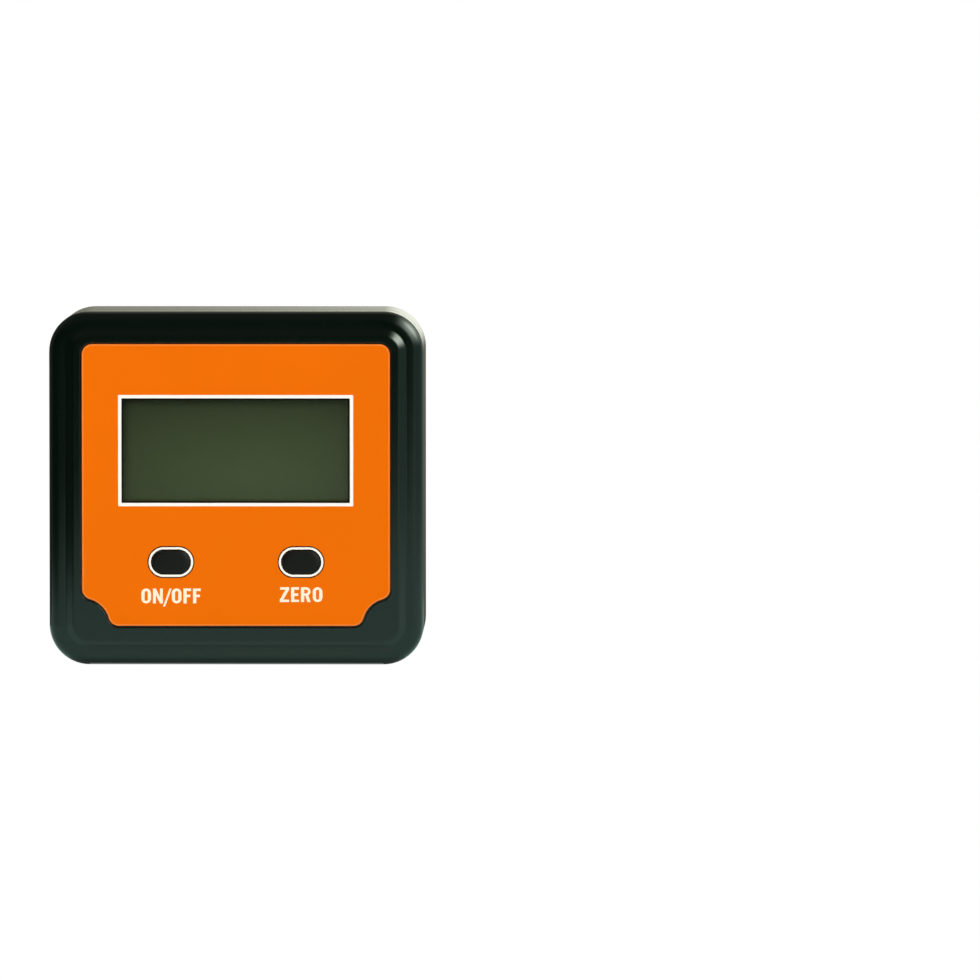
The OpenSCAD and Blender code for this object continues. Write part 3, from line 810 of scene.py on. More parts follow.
@dataclass
class FrontShell(CaseShell):
    """The front shell: a swept bezel around a raised face, with a recess for the label.

    Attributes:
        roll_w: Width of the outer rolled edge, seen from the front.
        roll_lean: Slope at which the rolled edge leaves the ledge, in degrees.
        foot: Distance from the outline to the foot of the shoulder.
        shoulder_h: Height of the raised face above the ledge.
        shoulder_slope: Slope of the shoulder, in degrees.
        foot_r: Radius of the fillet at the shoulder's foot.
        crest_r: Radius of the shoulder's upper edge.
        lip_r: Radius of the recess's edge.
        recess: Depth of the label's recess below the raised face.
        face_wall: Thickness of the front wall under the recess.
        lens_overlap: How far the lens reaches under the label around the window.
        post_r: Radius of a corner post.
        post_bore_r: Radius of a corner post's hole.
        board_head_r: Radius of a board screw's head.
        board_post_r: Radius of a board post.
        board_bore_r: Radius of a board post's hole.
        post_root: How far a post starts inside the front wall.
        tip_room: Depth of a post's hole beyond its screw's tip.
        roll_steps: Steps in the rolled edge.
        foot_steps: Steps in the fillet at the shoulder's foot.
        crest_steps: Steps in the shoulder's upper edge.
    """

    roll_w: float = 1.5
    roll_lean: float = 16.0
    foot: float = 2.52
    shoulder_h: float = 1.0
    shoulder_slope: float = 45.5
    foot_r: float = 0.35
    crest_r: float = 0.45
    lip_r: float = 0.06
    recess: float = 0.8
    face_wall: float = 1.6
    lens_overlap: float = 0.6
    post_r: float = 2.75
    post_bore_r: float = 1.15
    board_head_r: float = 1.5
    board_post_r: float = 1.7
    board_bore_r: float = 0.85
    post_root: float = 0.3
    tip_room: float = 0.4
    roll_steps: int = 12
    foot_steps: int = 6
    crest_steps: int = 7

    def section(self, depth: float) -> Outline:
        """The bezel's section from the parting line up to the raised face.

        Args:
            depth: Depth of the shell.

        Returns:
            Points of distance in from the outline, and depth below the raised face.
        """
        height, slope = self.shoulder_h, self.shoulder_slope
        lean = math.radians(self.roll_lean)
        roll_r = self.roll_w / (1 - math.sin(lean))
        bend = math.tan(math.radians(slope / 2))
        crest = self.foot + height / math.tan(math.radians(slope))
        rim_at = (self.rim_r, depth - self.rim_r)
        roll_at = (roll_r, height + roll_r * math.cos(lean))
        foot_at = (self.foot - self.foot_r * bend, height - self.foot_r)
        crest_at = (crest + self.crest_r * bend, self.crest_r)
        points = arc(rim_at, self.rim_r, 90, 180, self.rim_steps)
        points += arc(roll_at, roll_r, 180, 270 - self.roll_lean, self.roll_steps)
        points += arc(foot_at, self.foot_r, 90, 90 - slope, self.foot_steps)
        points += arc(crest_at, self.crest_r, 270 - slope, 270, self.crest_steps)
        return points + [(points[-1][0] + MARGIN, 0.0)]

    def build(self, face: Face, keys: KeyPlan) -> None:
        """Builds the shell as one closed mesh with its posts.

        Args:
            face: Places on the face.
            keys: Sizes of the keys.
        """
        low, high = box_mm("front_housing")
        centre = centre_mm("front_housing")
        width, height, depth = high.x - low.x, high.z - low.z, high.y - low.y
        shell = MeshBuilder()

        def loop(inset: float, v: float) -> list[int]:
            """Adds a ring that follows the case's outline.

            Args:
                inset: Distance in from the outline.
                v: Depth below the raised face.

            Returns:
                The new points' numbers.
            """
            size = (width - 2 * inset, height - 2 * inset)
            outline = rounded_rectangle(centre, *size, self.corner_r - inset, self.corner_steps)
            return shell.ring(outline, low.y + v)

        bezel = [loop(inset, v) for inset, v in self.section(depth)]
        inner_rim = loop(self.wall, depth)
        shell.bridge(inner_rim, bezel[0])
        shell.loft(bezel)
        lip_section = [(self.lip_r + MARGIN, 0.0), *round_over(self.lip_r), (0.0, self.recess)]
        lip = [shell.ring(face.label(face.label_gap + grow), low.y + sink) for grow, sink in lip_section]
        shell.fill(bezel[-1], [lip[0]])
        shell.loft(lip)
        holes = [face.window(self.lens_overlap + face.fit_gap)]
        holes += [keys.outline(side, face.fit_gap) for side in Side]
        wall_back = self.recess + self.face_wall
        front_holes = [shell.ring(h, low.y + self.recess) for h in holes]
        back_holes = [shell.ring(h, low.y + wall_back) for h in holes]
        shell.fill(lip[-1], front_holes)
        for first, second in zip(front_holes, back_holes):
            shell.bridge(first, second)
        inner = loop(self.wall, wall_back)
        shell.fill(inner, back_holes)
        shell.bridge(inner, inner_rim)
        self.add_posts(shell, low.y + wall_back, high.y)
        piece = shell.make("front_shell", CASE_ABS, Body.HOUSING, "case_plastic")
        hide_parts("front_housing")

    def add_posts(self, shell: MeshBuilder, wall_back: float, parting: float) -> None:
        """Adds the corner posts and the board posts as tubes that start in the front wall.

        Args:
            shell: The shell's mesh.
            wall_back: Y of the front wall's back.
            parting: Y of the parting line.
        """
        board = box_mm("main_board")[0].y
        plans = (
            ("case_screws", self.head_r, self.post_r, self.post_bore_r, parting),
            ("board_screws", self.board_head_r, self.board_post_r, self.board_bore_r, board),
        )
        root = wall_back - self.post_root
        for node, head_r, radius, bore, end in plans:
            floor = box_mm(node)[0].y - self.tip_room
            section = [(radius, root), (radius, end), (bore, end), (bore, floor)]
            for centre in screw_centres(node, head_r):
                shell.cap(shell.revolve(centre, section))


@dataclass
class RearShell(CaseShell):
    """The rear shell: a swept wall with a shadow line, a back with a round battery opening, and a flat base.

    Attributes:
        back_wall: Thickness of the back.
        back_roll_r: Radius of the rolled edge around the back.
        seam_w: Width of the shadow line at the parting.
        seam_depth: Depth of the shadow line at the parting.
        lip_h: Height of the locating lip.
        lip_t: Thickness of the locating lip.
        lip_gap: Gap between the lip and the front shell.
        tight_r: Smallest radius of an inner corner.
        edge_r: Small radius around the openings.
        cover_gap: Gap around the battery cover.
        seat_depth: Depth of the cover's seat below the back.
        bayonet_t: Thickness of the ledge that the cover's lugs turn under.
        throat_r: Radius of the battery opening's throat.
        chamber_r: Radius of the chamber that the lugs turn in.
        pocket_r: Radius of the cell's pocket.
        contact_room: Depth under the cell for its spring.
        well_wall: Thickness of the walls around the cell and the magnets.
        head_t: Height of a screw's head.
        head_bore_r: Radius of a screw head's hole.
        shank_bore_r: Radius of a screw shank's hole.
        post_r: Radius of a corner post.
        magnet_gap: Gap around a magnet in its pocket.
        mark: The dimple that marks the cover's turn.
        open_turn: Turn from the closed mark to the open mark, in degrees.
        roll_steps: Steps in the rolled edge around the back.
    """

    back_wall: float = 2.0
    back_roll_r: float = 1.2
    seam_w: float = 0.25
    seam_depth: float = 0.5
    lip_h: float = 1.5
    lip_t: float = 0.8
    lip_gap: float = 0.1
    tight_r: float = 0.1
    edge_r: float = 0.18
    cover_gap: float = 0.2
    seat_depth: float = 1.4
    bayonet_t: float = 1.2
    throat_r: float = 10.5
    chamber_r: float = 11.7
    pocket_r: float = 10.25
    contact_room: float = 0.7
    well_wall: float = 1.2
    head_t: float = 1.6
    head_bore_r: float = 2.3
    shank_bore_r: float = 1.3
    post_r: float = 3.3
    magnet_gap: float = 0.05
    mark: TurnMark = TurnMark()
    open_turn: float = 45.0
    roll_steps: int = 12

    def section(self, parting: float, back: float) -> Outline:
        """The wall's section, from the back's edge round to the inside of the back.

        Args:
            parting: Y of the parting line.
            back: Y of the back.

        Returns:
            Points of distance in from the outline, and Y.
        """
        roll, rim = self.back_roll_r, self.rim_r
        lip_out = self.wall + self.lip_gap
        lip_in = lip_out + self.lip_t
        chamfer = self.lip_t / 4
        points = [(roll + MARGIN, back)] + arc((roll, back - roll), roll, 90, 180, self.roll_steps)
        points += arc((rim, parting + self.seam_w + rim), rim, 180, 270, self.rim_steps)
        points += [(self.seam_depth, parting + self.seam_w), (self.seam_depth, parting), (lip_out, parting)]
        points += [(lip_out, parting - self.lip_h + chamfer), (lip_out + chamfer, parting - self.lip_h)]
        points += [(lip_in, parting - self.lip_h), (lip_in, parting + self.lip_h)]
        return points + [(self.wall, parting + self.lip_h), (self.wall, back - self.back_wall)]

    def rounded_mouth(self, radius: float, level: float, inwards: float) -> Outline:
        """The rounded edge of a round opening.

        Args:
            radius: The opening's radius.
            level: Level of the face that it opens in.
            inwards: 1 or -1, the way into the opening.

        Returns:
            Radius and level of each circle, from the face into the opening.
        """
        section = [(self.edge_r + MARGIN, 0.0), *round_over(self.edge_r)]
        return [(radius + grow, level + inwards * sink) for grow, sink in section]

    def build(self) -> None:
        """Builds the shell as a closed mesh with its well, posts and magnet pockets."""
        low, high = box_mm("rear_housing")
        parting, back = box_mm("front_housing")[1].y, high.y
        centre = centre_mm("rear_housing")
        shell = MeshBuilder()
        loops = []
        for inset, y in self.section(parting, back):
            size = (high.x - low.x - 2 * inset, high.z - low.z - 2 * inset)
            corner_r = max(self.corner_r - inset, self.tight_r)
            loops.append(shell.ring(rounded_rectangle(centre, *size, corner_r, self.corner_steps), y))
        # Place in each ring of its straight side along the base, after three corners of points
        base = 3 * self.corner_steps + 2
        # Places of the section's two bands that hold the base's outer and inner faces
        walls = (self.roll_steps + 1, len(loops) - 2)
        for i, (first, second) in enumerate(zip(loops, loops[1:])):
            shell.bridge(first, second, base if i in walls else None)
        self.add_base(shell, [(loops[i], loops[i + 1]) for i in walls], base)
        mouths, roots = self.add_posts(shell, parting, back)
        mouth, root = self.add_well(shell, centre, back)
        shell.fill(loops[0], [mouth, *mouths, *self.add_marks(shell, centre, back)])
        shell.fill(loops[-1], [root, *roots])
        piece = shell.make("rear_shell", CASE_ABS, Body.HOUSING, "case_plastic")
        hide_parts("rear_housing")

    def add_base(self, shell: MeshBuilder, walls: list[tuple[list[int], list[int]]], base: int) -> None:
        """Fills the base's outer and inner faces around the magnet pockets.

        Args:
            shell: The shell's mesh.
            walls: The rings on both sides of the open panel, outside and then inside.
            base: The place of the open panel in the rings.
        """
        holes: list[list[list[int]]] = [[], []]
        for node in MAGNETS:
            low, high = box_mm(node)
            centre = centre_mm(node, Axis.Z)
            radius = (high.x - low.x) / 2 + self.magnet_gap
            mouth = self.rounded_mouth(radius, 0, 1) + [(radius, self.wall)]
            rings = shell.revolve(centre, mouth, MIDDLE_ROUND, Axis.Z)
            holes[0].append(rings[0])
            holes[1].append(rings[-1])
            outer, sunk, top = radius + self.well_wall, self.wall - self.edge_r, high.z + self.magnet_gap
            cup = [(radius, top), (radius, sunk), (outer, sunk), (outer, top + self.well_wall)]
            shell.cap(shell.revolve(centre, cup, MIDDLE_ROUND, Axis.Z), Axis.Z)
        for (first, second), openings in zip(walls, holes):
            panel = [first[base], first[base + 1], second[base + 1], second[base]]
            shell.fill(panel, openings, Axis.Z)

    def add_posts(
        self, shell: MeshBuilder, parting: float, back: float
    ) -> tuple[list[list[int]], list[list[int]]]:
        """Adds the corner posts with their stepped holes.

        Args:
            shell: The shell's mesh.
            parting: Y of the parting line.
            back: Y of the back.

        Returns:
            The holes' mouths in the back, and the posts' roots on its inside.
        """
        seat = box_mm("case_screws")[1].y - self.head_t
        section = self.rounded_mouth(self.head_bore_r, back, -1)
        section += [(self.head_bore_r, seat), (self.shank_bore_r, seat), (self.shank_bore_r, parting)]
        section += [(self.post_r, parting), (self.post_r, back - self.back_wall)]
        posts = [shell.revolve(centre, section) for centre in screw_centres("case_screws", self.head_r)]
        return [rings[0] for rings in posts], [rings[-1] for rings in posts]

    def add_well(self, shell: MeshBuilder, centre: Point, back: float) -> tuple[list[int], list[int]]:
        """Adds the battery opening and the well around the cell.

        Args:
            shell: The shell's mesh.
            centre: The opening's centre.
            back: Y of the back.

        Returns:
            The opening's mouth in the back, and the well's root on its inside.
        """
        cover_low, cover_high = box_mm("battery_cover")
        cell_low, cell_high = box_mm("coin_cell")
        seat_r = (cover_high.x - cover_low.x) / 2 + self.cover_gap
        seat = back - self.seat_depth
        bayonet = seat - self.bayonet_t
        floor = cell_low.y - self.contact_room
        section = self.rounded_mouth(seat_r, back, -1)
        section += [(seat_r, seat), (self.throat_r, seat), (self.throat_r, bayonet)]
        section += [(self.chamber_r, bayonet), (self.chamber_r, cell_high.y)]
        section += [(self.pocket_r, cell_high.y), (self.pocket_r, floor)]
        inside = shell.revolve(centre, section, LARGE_ROUND)
        shell.fill(inside[-1])
        wide, slim = self.chamber_r + self.well_wall, self.pocket_r + self.well_wall
        step = cell_high.y - self.well_wall
        section = [(wide, back - self.back_wall), (wide, step), (slim, step), (slim, floor - self.well_wall)]
        outside = shell.revolve(centre, section, LARGE_ROUND)
        shell.fill(outside[-1])
        return inside[0], outside[0]

    def add_marks(self, shell: MeshBuilder, centre: Point, back: float) -> list[list[int]]:
        """Adds the two dimples beside the cover.

        Args:
            shell: The shell's mesh.
            centre: The battery opening's centre.
            back: Y of the back.

        Returns:
            The dimples' mouths in the back.
        """
        low, high = box_mm("battery_cover")
        reach = (high.x - low.x) / 2 + self.mark.offset
        mouths = []
        for turn in (0.0, self.open_turn):
            t = math.radians(turn)
            place = (centre[0] + reach * math.sin(t), centre[1] + reach * math.cos(t))
            mouths.append(self.mark.add(shell, place, back))
        return mouths


@dataclass
class BatteryCover:
    """The round battery cover, with a coin slot, a dimple and two bayonet lugs.

    Attributes:
        edge_r: Radius of the rim's edges.
        flange_t: Thickness of the flange.
        neck_r: Radius of the neck.
        ring_t: Thickness of the neck's wall.
        floor_t: Thickness of the cover's middle.
        slot_l: Length of the coin slot.
        slot_w: Width of the coin slot.
        slot_depth: Depth of the coin slot.
        slot_edge_r: Radius of the coin slot's edge.
        lug_r: Radius of the lugs' ends.
        lug_t: Thickness of the lugs.
        lug_angle: Angle that each lug spans, in degrees.
        mark: The dimple that marks the cover's turn.
        edge_steps: Steps in the rim's edges.
        lug_steps: Steps along each lug.
    """

    edge_r: float = 0.25
    flange_t: float = 1.35
    neck_r: float = 10.3
    ring_t: float = 1.5
    floor_t: float = 2.1
    slot_l: float = 14.0
    slot_w: float = 2.2
    slot_depth: float = 1.1
    slot_edge_r: float = 0.18
    lug_r: float = 11.5
    lug_t: float = 1.2
    lug_angle: float = 36.0
    mark: TurnMark = TurnMark()
    edge_steps: int = 6
    lug_steps: int = 12

    def build(self) -> None:
        """Builds the cover as a closed mesh, with its lugs set into the neck."""
        low, high = box_mm("battery_cover")
        radius = (high.x - low.x) / 2
        centre = centre_mm("battery_cover")
        cover = MeshBuilder()
        seat, e, bore = high.y - self.flange_t, self.edge_r, self.neck_r - self.ring_t
        section = [(radius - e - MARGIN, high.y)]
        section += arc((radius - e, high.y - e), e, 90, 0, self.edge_steps)
        section += [(radius, seat), (self.neck_r, seat), (self.neck_r, low.y)]
        section += [(bore, low.y), (bore, high.y - self.floor_t)]
        rings = cover.revolve(centre, section, LARGE_ROUND)
        cover.fill(rings[-1])
        edge_r = self.slot_edge_r
        slot_edge = [(edge_r + MARGIN, 0.0), *round_over(edge_r), (0.0, self.slot_depth)]
        slot = [
            cover.ring(stadium(centre, self.slot_l + 2 * grow, self.slot_w + 2 * grow), high.y - sink)
            for grow, sink in slot_edge
        ]
        cover.loft(slot)
        cover.fill(slot[-1])
        place = (centre[0], centre[1] + radius - self.mark.offset)
        cover.fill(rings[0], [slot[0], self.mark.add(cover, place, high.y)])
        for middle in (0.0, 180.0):
            self.add_lug(cover, centre, middle, low.y)
        piece = cover.make("battery_door", CASE_ABS, Body.BATTERY_DOOR, "case_plastic")
        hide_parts("battery_cover")

    def add_lug(self, cover: MeshBuilder, centre: Point, middle: float, end: float) -> None:
        """Adds one lug as a closed block that starts inside the neck's wall.

        Args:
            cover: The cover's mesh.
            centre: The cover's centre.
            middle: The lug's middle angle, in degrees.
            end: Y of the neck's end.
        """
        start, stop = middle - self.lug_angle / 2, middle + self.lug_angle / 2
        root = self.neck_r - self.ring_t / 2
        outline = arc(centre, self.lug_r, start, stop, self.lug_steps)
        outline += arc(centre, root, stop, start, self.lug_steps)
        rings = [cover.ring(outline, y) for y in (end, end + self.lug_t)]
        cover.loft(rings)
        cover.cap(rings)


@dataclass
class Fasteners:
    """The case screws and the base magnets, with turned and tumbled edges.

    Attributes:
        head_d: Diameter of a screw's head.
        head_t: Height of a screw's head.
        head_chamfer: Width of the chamfer under a screw's head.
        shank_d: Diameter of a screw's shank.
        tip_share: Share of the shank's diameter at its tip.
        rim_share: Share of the head's height that is straight.
        flat_share: Share of the head's diameter that is flat on top.
        cross_l_share: Share of the head's diameter that the cross spans.
        cross_w_share: Share of the head's diameter that an arm is wide.
        cross_depth_share: Share of the head's height that the cross is deep.
        cross_flare: Share by which the cross is wider at its mouth, and the depth of that, in millimetres.
        cross_taper: Share of the cross's width that is left at its floor.
        crown_step: Angle from circle to circle over a screw's head, in degrees.
        magnet_edge_r: Radius of a magnet's edges.
        magnet_steps: Steps in a magnet's edges.
    """

    head_d: float = 4.2
    head_t: float = 1.6
    head_chamfer: float = 0.1
    shank_d: float = 2.2
    tip_share: float = 0.4
    rim_share: float = 0.45
    flat_share: float = 0.68
    cross_l_share: float = 0.6
    cross_w_share: float = 0.16
    cross_depth_share: float = 0.6
    cross_flare: float = 0.06
    cross_taper: float = 0.75
    crown_step: int = 18
    magnet_edge_r: float = 0.3
    magnet_steps: int = 6

    def build(self) -> None:
        """Builds the screws as one piece and the magnets as two."""
        low, high = box_mm("case_screws")
        screws = MeshBuilder()
        for centre in screw_centres("case_screws", self.head_d / 2):
            self.add_screw(screws, centre, low.y, high.y)
        piece = screws.make("pan_head_screws", ZINC_PLATE, Body.HOUSING, "screw_zinc")
        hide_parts("case_screws")
        for node in MAGNETS:
            self.build_magnet(node)

    def add_screw(self, mesh: MeshBuilder, centre: Point, tip: float, top: float) -> None:
        """Adds one pan-head screw with a tapered cross in its head.

        Args:
            mesh: The screws' mesh.
            centre: The screw's axis.
            tip: Y of the shank's tip.
            top: Y of the head's top.
        """
        r, shank = self.head_d / 2, self.shank_d / 2
        seat = top - self.head_t
        crown = self.head_t * (1 - self.rim_share)
        flat = r * self.flat_share
        section = [(shank * self.tip_share, tip), (shank, tip + shank), (shank, seat)]
        section += [(r - self.head_chamfer, seat), (r, seat + self.head_chamfer)]
        for turn in range(0, 91, self.crown_step):
            t = math.radians(turn)
            section.append((flat + (r - flat) * math.cos(t), top - crown + crown * math.sin(t)))
        rings = mesh.revolve(centre, section)
        mesh.fill(rings[0])
        floor = top - self.head_t * self.cross_depth_share
        flare = self.cross_flare
        levels = ((1.0 + flare, top), (1.0, top - flare), (self.cross_taper, floor))
        crosses = [mesh.ring(self.cross(centre, share), y) for share, y in levels]
        mesh.loft(crosses)
        mesh.fill(crosses[-1])
        mesh.fill(rings[-1], [crosses[0]])

    def cross(self, centre: Point, share: float) -> Outline:
        """The cross's outline.

        Args:
            centre: The screw's axis.
            share: Share of the cross's full size.

        Returns:
            The outline, anticlockwise.
        """
        a = self.head_d * self.cross_l_share / 2 * share
        b = self.head_d * self.cross_w_share / 2 * share
        turns = ((1, 0), (0, 1), (-1, 0), (0, -1))
        arm = ((a, -b), (a, b), (b, b))
        return [(centre[0] + x * c - z * s, centre[1] + x * s + z * c) for c, s in turns for x, z in arm]

    def build_magnet(self, node: str) -> None:
        """Builds one disc magnet with rounded edges.

        Args:
            node: The magnet's CAD node.
        """
        low, high = box_mm(node)
        e, steps = self.magnet_edge_r, self.magnet_steps
        flat = (high.x - low.x) / 2 - e
        section = [(flat - MARGIN, low.z)] + arc((flat, low.z + e), e, -90, 0, steps)
        section += arc((flat, high.z - e), e, 0, 90, steps) + [(flat - MARGIN, high.z)]
        magnet = MeshBuilder()
        magnet.cap(magnet.revolve(centre_mm(node, Axis.Z), section, MIDDLE_ROUND, Axis.Z), Axis.Z)
        piece = magnet.make(f"{node}_disc", NICKEL_PLATE, Body.HOUSING, "magnet_nickel")
        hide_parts(node)


@dataclass
class Label:
    """The printed film on the face, with its inks.

    Attributes:
        face: Places on the face.
        keys: Sizes of the keys.
        chamfer: Width of the film's cut edge that catches the light.
        ink: Thickness of the ink.
        highlight_gap: Gap between the film's cut edge and the painted highlight beside it.
        highlight_w: Width of the painted highlight, a pale line around the film's edge.
        frame_w: Width of the white line around the window, with the painted shade inside it.
        frame_r: Radius of that line's outer corners.
        ring_w: Width of the white ring around a key.
        hairline: Width of the brown line around each ring.
        window_line: Width of the painted shade inside the window's frame.
        collar_w: Width of the painted shade inside each ring, at the key's opening.
        cap_h: Height of the capitals.
        drops: Distances from the left and right keys' centres down to the capitals' tops.
        crease_deg: Edges of the film and the ink sharper than this stay sharp.
    """

    face: Face
    keys: KeyPlan
    chamfer: float = 0.07
    ink: float = 0.02
    highlight_gap: float = 0.01
    highlight_w: float = 0.14
    frame_w: float = 0.7
    frame_r: float = 0.12
    ring_w: float = 0.36
    hairline: float = 0.18
    window_line: float = 0.22
    collar_w: float = 0.05
    cap_h: float = 2.15
    drops: Point = (3.82, 3.62)
    crease_deg: float = 20.0

    def build(self) -> None:
        """Builds the film as one closed plate with chamfered edges, and prints it."""
        plate, face = MeshBuilder(), self.face
        front, back, c = face.low.y, face.high.y, self.chamfer
        holes = [face.opening(0)] + [self.keys.outline(side, face.fit_gap) for side in Side]
        edge = [plate.ring(face.label(grow), y) for grow, y in ((-c, front), (0, front + c), (0, back))]
        stacks = [[plate.ring(hole, front), plate.ring(hole, back)] for hole in holes]
        for stack in (edge, *stacks):
            plate.loft(stack)
        for level in (0, -1):
            plate.fill(edge[level], [stack[level] for stack in stacks])
        piece = plate.make("label_film", LABEL_FILM, Body.HOUSING, "label_film", self.crease_deg)
        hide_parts("face_label")
        self.print_lines()
        self.print_words()

    def print_lines(self) -> None:
        """Lays the painted highlight along the film's edge and the painted shade in the window's and the
        keys' openings, and prints the window's frame and the keys' rings.
        """
        face = self.face
        # The painted highlight: a pale line just inside the film's chamfered edge
        edge = self.chamfer + self.highlight_gap
        highlight_line = (face.label(-edge), [face.label(-edge - self.highlight_w)])
        self.print_shapes("label_edge_painted_highlight", PAINTED_EDGE_HIGHLIGHT, [highlight_line])
        frame_line = (face.opening(self.frame_w, self.frame_r), [face.opening(self.window_line)])
        self.print_shapes("window_frame_ink", WHITE_INK, [frame_line])
        # Painted shade down the window opening's edge, just inside the white frame
        self.print_collars("window_edge_painted_shade", PAINTED_GAP_SHADE, [face.opening], (self.window_line, 0.0))
        outlines = [partial(self.keys.outline, side) for side in Side]
        hole, ring = face.fit_gap, face.fit_gap + self.ring_w
        collar = hole + self.collar_w
        # Painted shade in the gaps around the keys, inside their white rings
        self.print_collars("key_collar_painted_shade", PAINTED_GAP_SHADE, outlines, (collar, hole))
        rings = [(outline(ring), [outline(collar)]) for outline in outlines]
        self.print_shapes("key_ring_ink", WHITE_INK, rings)
        lines = [(outline(ring + self.hairline), [outline(ring)]) for outline in outlines]
        self.print_shapes("key_hairline_ink", BROWN_INK, lines)

    def print_words(self) -> None:
        """Prints the word under each key."""
        letters = Lettering(self.cap_h)
        words = (("on_off_ink", "ON/OFF"), ("zero_ink", "ZERO"))
        for side, (name, word), drop in zip(Side, words, self.drops):
            x, z = self.keys.centre(side)
            self.print_shapes(name, CREAM_INK, letters.word(word, (x, z - drop - self.cap_h)))

    def print_collars(
        self, name: str, ink: Finish, outlines: list[Callable[[float], Outline]], band: Point
    ) -> None:
        """Lays painted shade around holes in the film and down their edges.

        Args:
            name: The piece's name.
            ink: The finish of the painted shade.
            outlines: One function for each hole, from a margin to its outline.
            band: Margins of the painted shade's outer edge and of the hole's edge.
        """
        outer, hole = band
        inner = hole - 2 * self.ink
        film, back = self.face.low.y, self.face.high.y
        section = [(outer, film - self.ink), (inner, film - self.ink), (inner, back)]
        section += [(hole, back), (hole, film), (outer, film)]
        layer = MeshBuilder()
        for outline in outlines:
            rings = [layer.ring(outline(grow), y) for grow, y in section]
            layer.loft(rings + rings[:1])
        layer.make(name, ink, Body.HOUSING, "label_film", self.crease_deg)

    def print_shapes(self, name: str, ink: Finish, shapes: list[Shape]) -> None:
        """Lays one colour of ink on the film as thin plates.

        Args:
            name: The piece's name.
            ink: The ink.
            shapes: Outlines with their holes.
        """
        layer = MeshBuilder()
        front, back = self.face.low.y - self.ink, self.face.low.y + self.ink / 2
        for outer, holes in shapes:
            rings = [[layer.ring(o, y) for y in (front, back)] for o in (outer, *holes)]
            for pair in rings:
                layer.loft(pair)
            for level in (0, 1):
                layer.fill(rings[0][level], [pair[level] for pair in rings[1:]])
        layer.make(name, ink, Body.HOUSING, "label_film", self.crease_deg)


